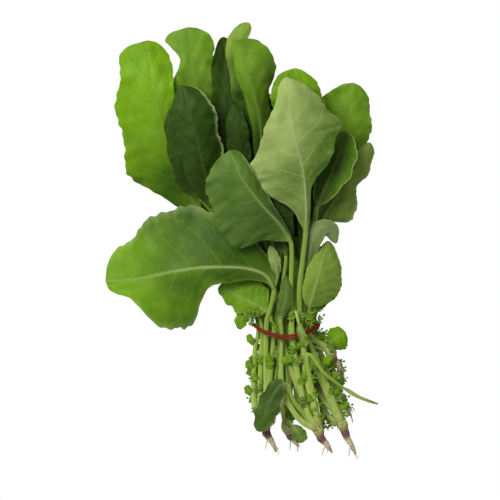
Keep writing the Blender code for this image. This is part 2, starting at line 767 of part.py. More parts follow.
def joined(body, pieces):
    """Joins the objects of a collection to body with one applied Boolean, and removes them."""
    union = body.modifiers.new("union", "BOOLEAN")
    union.operation = "UNION"
    union.operand_type = "COLLECTION"
    union.collection = pieces
    union.solver = "MANIFOLD"
    bpy.context.view_layer.update()
    graph = bpy.context.evaluated_depsgraph_get()
    result = bpy.data.meshes.new_from_object(body.evaluated_get(graph))
    body.modifiers.clear()
    without_slivers(result)
    body.data = result
    for piece in list(pieces.objects):
        bpy.data.objects.remove(piece)
    bpy.data.collections.remove(pieces)
    return body


def new_collection(name):
    """A collection in the scene for the pieces that a Boolean joins."""
    collection = bpy.data.collections.new(name)
    bpy.context.scene.collection.children.link(collection)
    return collection


def lobe_leaf(lobe, plant):
    """A lobe as a small leaf that starts inside its stalk."""
    leaf = plant.leaves[lobe.leaf]
    stalk = [Vector(plant.crown)] + [Vector(p) for p in leaf.stalk]
    base = along(stalk, lobe.at)
    angle = math.radians(lobe.heading)
    way = Vector((math.cos(angle), math.sin(angle), 0.0))
    tip = base + way * lobe.length + Vector((0, 0, lobe.rise * lobe.length))
    middle = (base + tip) / 2 + Vector((0, 0, 0.12 * lobe.length))
    width = lobe.half_width
    return Leaf(
        stalk=(base + way * 1.5,),
        rib=(base + way * 1.5, middle, tip),
        left=(0.9, width, 0.8 * width),
        right=(0.9, width, 0.8 * width),
        wave=0.3,
        tooth=0.0,
    ), base


def crown_axis(plant):
    """The direction from the root into the crown."""
    return (Vector(plant.crown) - Vector(plant.root[0])).normalized()


def build_plant(name, plant, material):
    """One plant's crown, stalks, blades and lobes as one solid."""
    axis = crown_axis(plant)
    crown = Vector(plant.crown)
    low = crown - axis * CROWN_LENGTH / 2
    places = [low + axis * CROWN_LENGTH * s for s in (0, 0.35, 0.7, 1.0)]
    radii = [ROOT_RADIUS + 0.4, CROWN_RADIUS, 0.9 * CROWN_RADIUS, 0.6 * CROWN_RADIUS]
    body = object_from("plant_" + name, tube(places, radii, CROWN_SIDES))
    body.data.materials.append(material)
    pieces = new_collection("pieces_" + name)
    count = len(plant.leaves)
    for k, leaf in enumerate(plant.leaves):
        turn = 2 * math.pi * k / count
        side = axis.cross(Vector((0, 0, 1))).normalized()
        up = side.cross(axis)
        foot = crown + (side * math.cos(turn) + up * math.sin(turn)) * FOOT_SPREAD * CROWN_RADIUS
        columns, stations = (SMALL_COLUMNS, SMALL_STATIONS) if leaf.slim else (BLADE_COLUMNS, BLADE_STATIONS)
        rings = leaf_rings(leaf, foot, STALK_RADIUS, columns, stations, STALK_RINGS)
        object_from(f"leaf_{name}_{k}", solid_from_rings(rings, columns), pieces)
    for k, lobe in enumerate(plant.lobes):
        leaf, base = lobe_leaf(lobe, plant)
        rings = leaf_rings(leaf, base, LOBE_STALK_RADIUS, SMALL_COLUMNS, SMALL_STATIONS, 1)
        object_from(f"lobe_{name}_{k}", solid_from_rings(rings, SMALL_COLUMNS), pieces)
    return joined(body, pieces)


def build_root(name, plant, material):
    """One plant's taproot with its side roots, just clear of the crown's foot."""
    axis = crown_axis(plant)
    top = Vector(plant.crown) - axis * (CROWN_LENGTH / 2 + JOIN_GAP)
    path = [top - axis * ROOT_COLLAR] + [Vector(p) for p in plant.root[1:]]
    places = [k / ROOT_STEPS for k in range(ROOT_STEPS + 1)]
    points = [top] + [along(path, place) for place in places]
    radii = [ROOT_RADIUS + 0.5] + [ROOT_RADIUS * (1 - place) ** 0.8 + 0.5 for place in places]
    body = object_from("root_" + name, tube(points, radii, ROOT_SIDES))
    body.data.materials.append(material)
    pieces = new_collection("side_roots_" + name)
    for k, (at, heading) in enumerate(plant.rootlets):
        start = along(path, at)
        angle = math.radians(heading)
        way = Vector((math.cos(angle), math.sin(angle), -0.15))
        line = [start, start + way * 4, start + way * 7 + Vector((0, -2, 0))]
        object_from(f"side_root_{name}_{k}", tube(line, SIDE_ROOT_RADII, SIDE_ROOT_SIDES), pieces)
    return joined(body, pieces)


def band_path(turn):
    """The band's centreline at a turn from 0 to 4 pi: two strands side by side that cross at the left."""
    c, s = math.cos(turn), math.sin(turn)
    power = 2 / BAND_SQUARENESS
    x = math.copysign(abs(c) ** power, c) * BAND_HALF_WIDTH
    z = math.copysign(abs(s) ** power, s) * BAND_HALF_HEIGHT
    y = BAND_SIDE_RISE * abs(c) ** 1.5 - BAND_FRONT_DROP * max(0.0, s) ** 2
    y += BAND_UNDER_SHIFT * max(0.0, -s) ** 2
    twist = turn / 2 - math.pi / 4 * s
    out = Vector((x / BAND_HALF_WIDTH**2, 0, z / BAND_HALF_HEIGHT**2)).normalized()
    centre = Vector((x, y, BAND_CENTRE_Z + z))
    offset = out * math.sin(twist) + Vector((0, math.cos(twist), 0))
    return centre + offset * BAND_STRAND_SPACING


def build_band(material):
    """The rubber band: one closed loop that goes twice round the stalks, pressed flat where it lies."""
    mesh = bmesh.new()
    rows = []
    points = [band_path(4 * math.pi * k / BAND_STEPS) for k in range(BAND_STEPS)]
    lowest = min(p.z for p in points) - BAND_STRAND_RADIUS * math.cos(math.pi / BAND_SIDES) + BAND_PRESSED
    for k, point in enumerate(points):
        heading = (points[(k + 1) % BAND_STEPS] - points[k - 1]).normalized()
        out = heading.cross(Vector((0, 1, 0))).normalized()
        side = out.cross(heading)
        ring = []
        for s in range(BAND_SIDES):
            a = 2 * math.pi * (s + 0.5) / BAND_SIDES
            corner = point + (out * math.cos(a) + side * math.sin(a)) * BAND_STRAND_RADIUS
            ring.append(Vector((corner.x, corner.y, max(corner.z - lowest, 0.0))))
        rows.append([mesh.verts.new(p * MM) for p in ring])
    for k in range(BAND_STEPS):
        near, far = rows[k - 1], rows[k]
        for s in range(BAND_SIDES):
            n = (s + 1) % BAND_SIDES
            mesh.faces.new((near[s], near[n], far[n], far[s]))
    bmesh.ops.recalc_face_normals(mesh, faces=mesh.faces)
    band = object_from("rubber_band", mesh)
    band.data.materials.append(material)
    return band


def make_material(name, colour, roughness):
    """A plain Principled material."""
    material = bpy.data.materials.new(name)
    material.use_nodes = True
    shader = material.node_tree.nodes["Principled BSDF"]
    shader.inputs["Base Color"].default_value = colour
    shader.inputs["Roughness"].default_value = roughness
    return material


def main():
    """Clears the scene and builds the bunch."""
    for old in list(bpy.data.objects):
        bpy.data.objects.remove(old)
    green = make_material("arugula_green", LEAF_GREEN, 0.45)
    beige = make_material("root_skin", ROOT_BEIGE, 0.8)
    red = make_material("red_rubber", BAND_RED, 0.4)
    for name, plant in plants().items():
        build_plant(name, plant, green)
        build_root(name, plant, beige)
    build_band(red)


if __name__ == "__main__":
    main()
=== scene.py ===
"""The looks of a tied bunch of fresh arugula, lying on its back and seen from straight above.

The bunch lies along Y with its leaf tips towards +Y. The tables of points are in millimetres, in the same
frame as the solids that this model is dressed over, and every piece belongs to the one body of the bunch.
"""

import logging
import math
from dataclasses import dataclass
from enum import Enum

import bpy
import numpy as np
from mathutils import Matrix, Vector


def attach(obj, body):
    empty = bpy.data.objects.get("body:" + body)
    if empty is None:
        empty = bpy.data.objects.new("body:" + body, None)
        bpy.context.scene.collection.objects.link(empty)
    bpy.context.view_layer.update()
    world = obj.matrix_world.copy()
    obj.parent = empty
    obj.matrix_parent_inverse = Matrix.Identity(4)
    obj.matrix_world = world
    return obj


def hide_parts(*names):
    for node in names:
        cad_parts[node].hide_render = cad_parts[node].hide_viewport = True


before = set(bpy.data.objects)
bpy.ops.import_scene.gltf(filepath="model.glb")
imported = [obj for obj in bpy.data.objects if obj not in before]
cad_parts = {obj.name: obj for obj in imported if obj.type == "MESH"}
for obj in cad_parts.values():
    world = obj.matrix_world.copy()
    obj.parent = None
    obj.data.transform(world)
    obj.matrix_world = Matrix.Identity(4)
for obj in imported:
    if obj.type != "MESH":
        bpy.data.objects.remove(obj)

LOG = logging.getLogger("arugula")
MM = 0.001
BODY = "root"

Colour = tuple[float, float, float, float]
Point = tuple[float, float, float]
Points = tuple[Point, ...]
Numbers = tuple[float, ...]
Tree = bpy.types.NodeTree
Socket = bpy.types.NodeSocket

# The kinds of node that mix two colours, ease a value into another range, or calculate.
COLOUR_MIX = ("ShaderNodeMix", {"data_type": "RGBA", "clamp_factor": True})
EASED_RANGE = ("ShaderNodeMapRange", {"interpolation_type": "SMOOTHSTEP"})
PLUS = ("ShaderNodeMath", {"operation": "ADD"})
MINUS = ("ShaderNodeMath", {"operation": "SUBTRACT"})
TIMES = ("ShaderNodeMath", {"operation": "MULTIPLY"})
TIMES_PLUS = ("ShaderNodeMath", {"operation": "MULTIPLY_ADD"})
POWER = ("ShaderNodeMath", {"operation": "POWER"})
SIZE_OF = ("ShaderNodeMath", {"operation": "ABSOLUTE"})
LARGER = ("ShaderNodeMath", {"operation": "MAXIMUM"})
IS_ABOVE = ("ShaderNodeMath", {"operation": "GREATER_THAN"})
BACK_AND_FORTH = ("ShaderNodeMath", {"operation": "PINGPONG"})

# Where stalks pass the tie, in millimetres.
TIE_COLUMN_PITCH = 4.9
TIE_LOWEST_ROW = 5.3
TIE_ROW_PITCH = 4.4


def linear(code: str) -> Colour:
    """Turns an sRGB hex colour, such as "#6e9b19", into linear red, green, blue and an alpha of 1."""
    values = [int(code[k : k + 2], 16) / 255 for k in (1, 3, 5)]
    return tuple(v / 12.92 if v <= 0.04045 else ((v + 0.055) / 1.055) ** 2.4 for v in values) + (1.0,)


def add_node(
    tree: Tree, kind: str, settings: dict | None = None, **inputs: Socket | float | tuple | str
) -> bpy.types.Node:
    """Adds a node with its settings, values and links.

    Args:
        tree: the node tree that gets the node.
        kind: the node's type name.
        settings: attributes of the node by name, such as its operation.
        inputs: what each socket gets, by name with underscores for spaces, or by number as in "n0":
            a value, a hex colour, or an output socket to link from.

    Returns:
        The new node.
    """
    node = tree.nodes.new(kind)
    for name, value in (settings or {}).items():
        setattr(node, name, value)
    for name, value in inputs.items():
        socket = node.inputs[int(name[1:]) if name[1:].isdigit() else name.replace("_", " ")]
        if isinstance(value, Socket):
            tree.links.new(value, socket)
        else:
            socket.default_value = linear(value) if isinstance(value, str) else value
    return node


def new_material(name: str) -> tuple[bpy.types.Material, Tree]:
    """Makes a material with an empty node tree.

    Args:
        name: what the material really is.

    Returns:
        The material and its tree.
    """
    material = bpy.data.materials.new(name)
    material.use_nodes = True
    material.node_tree.nodes.clear()
    return material, material.node_tree


def per_size(size_mm: float) -> float:
    """The scale of a pattern whose size is in millimetres."""
    return 1 / (size_mm * MM)


def between(values: np.ndarray, place: np.ndarray) -> np.ndarray:
    """Smooth values along evenly spaced numbers or points.

    Args:
        values: numbers, or rows of coordinates.
        place: where to read them, from 0 to 1.

    Returns:
        One value or row for each place.
    """
    values = np.asarray(values, float)
    padded = np.concatenate([[2 * values[0] - values[1]], values, [2 * values[-1] - values[-2]]])
    last = len(values) - 1
    step = np.clip((place * last).astype(int), 0, last - 1)
    t = place * last - step
    if values.ndim == 2:
        t = t[:, None]
    a, b, c, d = (padded[step + k] for k in range(4))
    return 0.5 * (2 * b + (c - a) * t + (2 * a - 5 * b + 4 * c - d) * t**2 + (3 * b - a - 3 * c + d) * t**3)


def along(points: np.ndarray, place: np.ndarray) -> np.ndarray:
    """Points at shares of the length of a smooth line.

    Args:
        points: rows of coordinates that the line runs through.
        place: shares of the length, from 0 to 1.

    Returns:
        One row for each place.
    """
    points = np.asarray(points, float)
    reach = np.concatenate([[0.0], np.cumsum(np.linalg.norm(np.diff(points, axis=0), axis=1))])
    wanted = np.clip(place, 0, 1) * reach[-1]
    k = np.searchsorted(reach[1:-1], wanted) + 1
    t = (wanted - reach[k - 1]) / (reach[k] - reach[k - 1])
    return between(points, (k - 1 + t) / (len(points) - 1))


def unit(rows: np.ndarray) -> np.ndarray:
    """Rows scaled to length one."""
    return rows / np.maximum(np.linalg.norm(rows, axis=-1, keepdims=True), 1e-9)


def headings(points: np.ndarray, place: np.ndarray) -> np.ndarray:
    """The directions of a smooth line at shares of its length."""
    return unit(along(points, np.minimum(1.0, place + 0.01)) - along(points, np.maximum(0.0, place - 0.01)))


def left_of(heading: np.ndarray) -> np.ndarray:
    """The level directions to the left of headings."""
    return unit(np.stack([-heading[:, 1], heading[:, 0], np.zeros(len(heading))], axis=1))


def smooth_step(x: np.ndarray) -> np.ndarray:
    """Eases 0..1 in and out, and holds it outside."""
    x = np.clip(x, 0.0, 1.0)
    return x * x * (3 - 2 * x)


def bump_at(x: np.ndarray, width: float) -> np.ndarray:
    """A soft bump of height one round zero."""
    return np.exp(-((x / width) ** 2))


@dataclass
class Skin:
    """A closed skin lofted through rings of corners, with what its material reads at each corner.

    growth holds the midrib, the margins' paleness, the shade and the neck of a leaf. The paleness is partly
    the underside at a turned margin and partly a painted highlight, and the shade is painted shade. On
    stalks, crowns and roots its first value is the groove, which the stalk's material darkens as painted
    shade, and its second is the place from foot to head. shares holds (along, across) on a blade.
    """

    rings: np.ndarray
    growth: np.ndarray
    shares: np.ndarray | None = None
    face_slots: np.ndarray | None = None

    def slots(self) -> np.ndarray:
        """Each face's material number, ring by ring, which is 0 where none was given."""
        unset = self.face_slots is None
        return np.zeros((len(self.rings) - 1, self.rings.shape[1]), int) if unset else self.face_slots

    def corner_shares(self) -> np.ndarray:
        """Each corner's (along, across) on a blade, which is its middle where none was given."""
        unset = self.shares is None
        return np.full((self.rings[..., 0].size, 2), 0.5) if unset else self.shares.reshape(-1, 2)

    def faces(self) -> tuple[np.ndarray, np.ndarray]:
        """The quads of the skin and its two caps.

        Returns:
            Corner numbers and material numbers, one row for each quad.
        """
        rows, around = self.rings.shape[:2]
        r, c = np.meshgrid(np.arange(rows - 1), np.arange(around), indexing="ij")
        n = (c + 1) % around
        here, onward = r * around, (r + 1) * around
        quads = np.stack([here + c, here + n, onward + n, onward + c], -1).reshape(-1, 4)
        k = np.arange(around // 2 - 1)
        first = np.stack([k, around - 1 - k, around - 2 - k, k + 1], -1)
        last = (rows - 1) * around + np.stack([k, k + 1, around - 2 - k, around - 1 - k], -1)
        slots = self.slots()
        ends = np.repeat(slots[[0, -1], 0], len(k))
        return np.concatenate([quads, first, last]), np.concatenate([slots.reshape(-1), ends])


def build_piece(name: str, skins: list[Skin], materials: list[bpy.types.Material]) -> bpy.types.Object:
    """Builds one mesh object from skins.

    Args:
        name: the piece's name.
        skins: the skins that make it up.
        materials: the materials that the skins' faces choose from.

    Returns:
        The object, with smooth faces.
    """
    corners = np.concatenate([skin.rings.reshape(-1, 3) for skin in skins])
    growth = np.concatenate([skin.growth.reshape(-1, 4) for skin in skins])
    shares = np.concatenate([skin.corner_shares() for skin in skins])
    quads, slots, start = [], [], 0
    for skin in skins:
        face, chosen = skin.faces()
        quads.append(face + start)
        slots.append(chosen)
        start += skin.rings[..., 0].size
    quads, slots = np.concatenate(quads), np.concatenate(slots)
    mesh = bpy.data.meshes.new(name)
    mesh.vertices.add(len(corners))
    mesh.vertices.foreach_set("co", (corners.reshape(-1) * MM).astype(np.float32))
    mesh.loops.add(quads.size)
    mesh.loops.foreach_set("vertex_index", quads.reshape(-1).astype(np.int32))
    mesh.polygons.add(len(quads))
    mesh.polygons.foreach_set("loop_start", np.arange(0, quads.size, 4, dtype=np.int32))
    mesh.polygons.foreach_set("use_smooth", np.ones(len(quads), bool))
    for material in materials:
        mesh.materials.append(material)
    mesh.polygons.foreach_set("material_index", slots.astype(np.int32))
    painted = mesh.attributes.new("growth", "FLOAT_COLOR", "POINT")
    painted.data.foreach_set("color", growth.reshape(-1).astype(np.float32))
    uv = mesh.uv_layers.new(name="share")
    uv.data.foreach_set("uv", shares[quads.reshape(-1)].reshape(-1).astype(np.float32))
    mesh.update(calc_edges=True)
    made = bpy.data.objects.new(name, mesh)
    bpy.context.scene.collection.objects.link(made)
    return made


def place_piece(piece: bpy.types.Object, node: str) -> None:
    """Makes a piece part of the bunch.

    Args:
        piece: the piece.
        node: the node that it stands for.
    """
    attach(piece, BODY)
    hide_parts(node)
    LOG.info("%s stands for %s", piece.name, node)


def tube(
    points: np.ndarray, radii: np.ndarray, sides: int, heading: np.ndarray | None = None, flat: float = 1.0
) -> np.ndarray:
    """Rings along a line.

    Args:
        points: the ring centres, one row each.
        radii: a radius for each ring, or a table with one for each corner.
        sides: how many corners a ring has.
        heading: the directions of the rings, or None to read them from the points.
        flat: how high a ring is for its width.

    Returns:
        The corners, as rings by sides by 3.
    """
    if heading is None:
        heading = unit(np.gradient(points, axis=0))
    side = unit(np.cross(heading, np.array([0.0, 0.0, 1.0])))
    up = np.cross(side, heading) * flat
    turn = 2 * np.pi * np.arange(sides) / sides
    radii = np.broadcast_to(np.asarray(radii, float).reshape(len(points), -1), (len(points), sides))
    across = side[:, None] * (np.cos(turn) * radii)[..., None]
    return points[:, None] + across + up[:, None] * (np.sin(turn) * radii)[..., None]


def growth_of(rings: np.ndarray, place: np.ndarray | float = 0.0) -> np.ndarray:
    """Growth values for a stalk or root.

    Args:
        rings: its corners.
        place: each ring's place from foot to head, or one for all.

    Returns:
        The values of each corner, with no groove.
    """
    growth = np.zeros(rings.shape[:2] + (4,))
    growth[..., 1] = np.reshape(place, (-1, 1)) if np.ndim(place) else place
    return growth


class Tone(Enum):
    """How light and how yellow a leaf is. BRIGHT and BROAD are lighter, yellower copies of the leaf colours,
    painted light for the outer leaves that the light falls on and shines through, and SHADED is a dark
    copy, painted shade for leaves deep inside the bunch. BROAD also has fainter veins.
    """

    BRIGHT = "bright"
    BROAD = "broad"
    FRESH = "fresh"
    DEEP = "deep"
    SHADED = "shaded"
    PALE = "pale"
    # Painted shade on the foot of a leaf, under a paler tip where it curls over.
    CURLED_AND_SHADED = "curled_and_shaded"
    DRIED = "dried"


@dataclass(frozen=True)
class BladeFinish:
    """Arugula leaf blade: a thin waxy skin over green cells, grown in the field.

    The eye sees a satin, slightly puckered green with sunk veins on top, and a paler, matt green with
    raised veins under it, and the blade glows yellow-green where light comes through. Each side's green
    also deepens towards its deep colour with the painted shade that each leaf gives along and across it.
    """

    name: str
    upper: str
    upper_deep_and_shaded: str
    upper_vein: str
    rib: str
    under: str
    under_deep_and_shaded: str
    under_vein: str
    glow: str
    glow_share: float = 0.35
    roughness: float = 0.46
    side_veins: float = 7.0
    vein_slant: float = 1.6
    # The real net of veins is finer than this. It is drawn coarser, so that it shows.
    cell_mm: float = 3.2
    pucker_mm: float = 7.0
    patch_mm: float = 22.22
    wobble_mm: float = 16.67
    grain_mm: float = 1.1
    neck: str = "#8fa94a"

    UNDER_MATT = 0.16

    def side(self, is_upper: bool) -> bpy.types.Material:
        """Makes one side's material.

        Args:
            is_upper: whether this is the leaf's upper side.

        Returns:
            The material.
        """
        material, tree = new_material(f"arugula_{self.name}_{'upper' if is_upper else 'under'}_side")
        blade, deep, vein = self.under, self.under_deep_and_shaded, self.under_vein
        if is_upper:
            blade, deep, vein = self.upper, self.upper_deep_and_shaded, self.upper_vein
        growth = add_node(tree, "ShaderNodeAttribute", {"attribute_name": "growth"})
        parts = add_node(tree, "ShaderNodeSeparateColor", Color=growth.outputs["Color"]).outputs
        spot = add_node(tree, "ShaderNodeTexCoord").outputs["Object"]
        lines = add_node(tree, *LARGER, n0=self._side_veins(tree, spot), n1=self._net(tree, spot)).outputs[0]
        patch = per_size(self.patch_mm)
        noise = add_node(tree, "ShaderNodeTexNoise", Vector=spot, Scale=patch, Detail=4.0, Roughness=0.55)
        patches = noise.outputs["Fac"]
        mottle = add_node(tree, *EASED_RANGE, n0=patches, n1=0.3, n2=0.7, n3=-0.2, n4=0.2).outputs[0]
        # The blue value is the leaf's painted shade. A random mottle is added, and together they carry the
        # green from the blade colour towards the deep colour.
        shade = add_node(tree, *PLUS, n0=mottle, n1=parts["Blue"]).outputs[0]
        colour = add_node(tree, *COLOUR_MIX, n0=shade, n6=blade, n7=deep).outputs[2]
        # The margins' pale tint: partly the underside at a turned margin, partly a painted highlight on a lit
        # edge.
        pale_and_lit_rim, neck = parts["Green"], growth.outputs["Alpha"]
        layers = ((lines, vein), (parts["Red"], self.rib), (pale_and_lit_rim, self.under_vein), (neck, self.neck))
        for share, tint in layers:
            colour = add_node(tree, *COLOUR_MIX, n0=share, n6=colour, n7=tint).outputs[2]
        ridges = add_node(tree, *LARGER, n0=lines, n1=parts["Red"]).outputs[0]
        bump = self._relief(tree, spot, ridges, is_upper)
        low, high = self.roughness - 0.06, self.roughness + 0.08
        if not is_upper:
            low, high = low + self.UNDER_MATT, high + self.UNDER_MATT
        gloss = add_node(tree, *EASED_RANGE, n0=patches, n1=0.3, n2=0.7, n3=low, n4=high).outputs[0]
        skin = add_node(
            tree, "ShaderNodeBsdfPrincipled", Base_Color=colour, Roughness=gloss, IOR=1.42, Normal=bump
        )
        skin.inputs["Specular IOR Level"].default_value = 0.2 if is_upper else 0.12
        # The glow through the blade takes the deep colour on the veins, and the same painted shade deepens
        # it.
        lit = add_node(tree, *COLOUR_MIX, n0=ridges, n6=self.glow, n7=deep).outputs[2]
        shaded = add_node(tree, *COLOUR_MIX, n0=shade, n6=lit, n7=deep).outputs[2]
        through = add_node(tree, "ShaderNodeBsdfTranslucent", Color=shaded, Normal=bump)
        both = add_node(
            tree, "ShaderNodeMixShader", n0=self.glow_share, n1=skin.outputs[0], n2=through.outputs[0]
        )
        add_node(tree, "ShaderNodeOutputMaterial", Surface=both.outputs[0])
        return material

    def _relief(self, tree: Tree, spot: Socket, ridges: Socket, is_upper: bool) -> Socket:
        """Raises or sinks the veins, and adds the skin's grain and pucker.

        Args:
            tree: the node tree.
            spot: the object coordinates.
            ridges: what is highest on a vein or the midrib.
            is_upper: whether this is the leaf's upper side, where veins are sunk.

        Returns:
            The bent normal's socket.
        """
        grain = add_node(tree, "ShaderNodeTexNoise", Vector=spot, Scale=per_size(self.grain_mm), Detail=3.0)
        pucker = add_node(tree, "ShaderNodeTexNoise", Vector=spot, Scale=per_size(self.pucker_mm), Detail=2.0)
        vein_height = -0.6 if is_upper else 0.9
        relief = 0.0
        heights = ((ridges, vein_height), (grain.outputs["Fac"], 0.12), (pucker.outputs["Fac"], 1.1))
        for source, height in heights:
            relief = add_node(tree, *TIMES_PLUS, n0=source, n1=height, n2=relief).outputs[0]
        return add_node(tree, "ShaderNodeBump", Strength=0.6, Distance=0.6 * MM, Height=relief).outputs[0]

    def _net(self, tree: Tree, spot: Socket) -> Socket:
        """Draws the fine net between the side veins.

        Args:
            tree: the node tree.
            spot: the object coordinates.

        Returns:
            A socket that is highest on the net.
        """
        edges = {"feature": "DISTANCE_TO_EDGE"}
        cells = add_node(tree, "ShaderNodeTexVoronoi", edges, Vector=spot, Scale=per_size(self.cell_mm))
        distance = cells.outputs["Distance"]
        return add_node(tree, *EASED_RANGE, n0=distance, n1=0.0, n2=0.12, n3=0.1, n4=0.0).outputs[0]

    def _side_veins(self, tree: Tree, spot: Socket) -> Socket:
        """Draws side veins that leave the midrib in turn and curve towards the tip.

        Args:
            tree: the node tree.
            spot: the object coordinates.

        Returns:
            A socket that is highest on a vein.
        """
        share = add_node(tree, "ShaderNodeUVMap", {"uv_map": "share"}).outputs["UV"]
        split = add_node(tree, "ShaderNodeSeparateXYZ", Vector=share).outputs
        offset = add_node(tree, *MINUS, n0=split["Y"], n1=0.5).outputs[0]
        away = add_node(tree, *SIZE_OF, n0=offset).outputs[0]
        reach = add_node(tree, *TIMES, n0=away, n1=2.0).outputs[0]
        noise = add_node(tree, "ShaderNodeTexNoise", Vector=spot, Scale=per_size(self.wobble_mm), Detail=2.0)
        wobble = add_node(tree, *TIMES, n0=noise.outputs["Fac"], n1=0.16).outputs[0]
        order = add_node(tree, *TIMES_PLUS, n0=split["X"], n1=self.side_veins, n2=wobble).outputs[0]
        curve = add_node(tree, *POWER, n0=reach, n1=1.25).outputs[0]
        order = add_node(tree, *TIMES_PLUS, n0=curve, n1=-self.vein_slant, n2=order).outputs[0]
        is_left = add_node(tree, *IS_ABOVE, n0=split["Y"], n1=0.5).outputs[0]
        order = add_node(tree, *TIMES_PLUS, n0=is_left, n1=0.5, n2=order).outputs[0]
        order = add_node(tree, *MINUS, n0=order, n1=0.15).outputs[0]
        gap = add_node(tree, *BACK_AND_FORTH, n0=order, n1=0.5).outputs[0]
        width = add_node(tree, *TIMES_PLUS, n0=reach, n1=-0.03, n2=0.055).outputs[0]
        return add_node(tree, *EASED_RANGE, n0=gap, n1=0.0, n2=width, n3=0.5, n4=0.0).outputs[0]


BLADES = {
    # A lighter, yellower copy of the leaf colours: painted light for the outer leaves that the light falls on
    # and shines through.
    Tone.BRIGHT: BladeFinish(
        name="bright",
        upper="#84b118", upper_deep_and_shaded="#436913", upper_vein="#74a01c", rib="#b9cc74",
        under="#a3bf4c", under_deep_and_shaded="#6f9136", under_vein="#bccd84",
        glow="#b6e22a", glow_share=0.42,
    ),
    # Like the bright copy, painted light for an outer leaf, here with fainter veins.
    Tone.BROAD: BladeFinish(
        name="broad",
        upper="#86b328", upper_deep_and_shaded="#456b1a", upper_vein="#82aa3c", rib="#b9cf7c",
        under="#a3bf4c", under_deep_and_shaded="#6f9136", under_vein="#bccd84",
        glow="#a8d62e", glow_share=0.4, side_veins=6.0,
    ),
    Tone.FRESH: BladeFinish(
        name="fresh",
        upper="#7aa428", upper_deep_and_shaded="#355712", upper_vein="#84a33e", rib="#a9bf66",
        under="#93ad4a", under_deep_and_shaded="#5d7b30", under_vein="#b4c684",
        glow="#98c82c", glow_share=0.36,
    ),
    Tone.DEEP: BladeFinish(
        name="deep",
        upper="#6a8c34", upper_deep_and_shaded="#34521c", upper_vein="#789248", rib="#93a866",
        under="#93a865", under_deep_and_shaded="#557038", under_vein="#b4c290",
        glow="#7fae2e", glow_share=0.28,
    ),
    # A dark copy of the leaf colours, its neck included: painted shade for leaves deep inside the bunch.
    Tone.SHADED: BladeFinish(
        name="shaded",
        upper="#34500f", upper_deep_and_shaded="#152404", upper_vein="#41601a", rib="#557528",
        under="#5d7a30", under_deep_and_shaded="#304a16", under_vein="#a6bb72",
        glow="#446a14", glow_share=0.16, neck="#5f7a2c",
    ),
    Tone.PALE: BladeFinish(
        name="pale",
        upper="#7fa03c", upper_deep_and_shaded="#55752a", upper_vein="#98ad66", rib="#b4c686",
        under="#b5c975", under_deep_and_shaded="#5c7c2c", under_vein="#bacc80",
        glow="#a6cc44", glow_share=0.3,
    ),
    # Its deep end, nearly black green, is painted shade on the foot of a leaf, under a paler tip where it
    # curls over.
    Tone.CURLED_AND_SHADED: BladeFinish(
        name="curled_and_shaded",
        upper="#7aa428", upper_deep_and_shaded="#22380a", upper_vein="#55752a", rib="#7c9a40",
        under="#a2c24e", under_deep_and_shaded="#1f4208", under_vein="#8fa850",
        glow="#98c82c", glow_share=0.3,
    ),
    Tone.DRIED: BladeFinish(
        name="dried",
        upper="#a9bb62", upper_deep_and_shaded="#7c6038", upper_vein="#a39a5c", rib="#b4ae74",
        under="#a9a868", under_deep_and_shaded="#7c6038", under_vein="#b6ad78",
        glow="#b0b460", glow_share=0.15, roughness=0.6, neck="#9fae58",
    ),
}


@dataclass(frozen=True)
class StalkFinish:
    """Leaf stalk: fluted, juicy plant skin, pale at the foot and greener towards the blade.

    The eye sees long fine fibres, a groove on top whose darker colour is painted shade, and a purple flush
    where the stalk leaves the crown.
    """

    name: str = "arugula_stalk"
    flush: str = "#9a7f66"
    foot: str = "#a9b962"
    middle: str = "#8faa48"
    head: str = "#80993c"
    # Painted shade for the groove on top.
    groove: str = "#66802a"
    fibre: str = "#7a9432"
    roughness: float = 0.4
    # Real fibres are finer than this. They are drawn coarser, so that they show.
    fibre_mm: float = 1.1

    def make(self) -> bpy.types.Material:
        """Makes the material.

        Returns:
            The material.
        """
        material, tree = new_material(self.name)
        growth = add_node(tree, "ShaderNodeAttribute", {"attribute_name": "growth"})
        parts = add_node(tree, "ShaderNodeSeparateColor", Color=growth.outputs["Color"]).outputs
        colour = self.flush
        for low, high, tint in ((0.0, 0.07, self.foot), (0.07, 0.5, self.middle), (0.6, 1.0, self.head)):
            share = add_node(tree, *EASED_RANGE, n0=parts["Green"], n1=low, n2=high).outputs[0]
            colour = add_node(tree, *COLOUR_MIX, n0=share, n6=colour, n7=tint).outputs[2]
        spot = add_node(tree, "ShaderNodeTexCoord").outputs["Object"]
        fine = per_size(self.fibre_mm)
        drawn = add_node(tree, "ShaderNodeMapping", Vector=spot, Scale=(fine, 0.08 * fine, fine)).outputs[0]
        fibres = add_node(tree, "ShaderNodeTexNoise", Vector=drawn, Scale=1.0, Detail=3.0).outputs["Fac"]
        streaks = add_node(tree, *EASED_RANGE, n0=fibres, n1=0.4, n2=0.7, n4=0.4).outputs[0]
        # The groove on top is darkened with painted shade.
        for share, tint in ((streaks, self.fibre), (parts["Red"], self.groove)):
            colour = add_node(tree, *COLOUR_MIX, n0=share, n6=colour, n7=tint).outputs[2]
        bump = add_node(tree, "ShaderNodeBump", Strength=0.35, Distance=0.3 * MM, Height=fibres).outputs[0]
        skin = add_node(
            tree, "ShaderNodeBsdfPrincipled",
            Base_Color=colour, Roughness=self.roughness, IOR=1.4, Normal=bump,
        )
        skin.inputs["Specular IOR Level"].default_value = 0.3
        skin.inputs["Subsurface Weight"].default_value = 0.2
        skin.inputs["Subsurface Radius"].default_value = (0.6, 1.0, 0.25)
        skin.inputs["Subsurface Scale"].default_value = 1.2 * MM
        add_node(tree, "ShaderNodeOutputMaterial", Surface=skin.outputs[0])
        return material


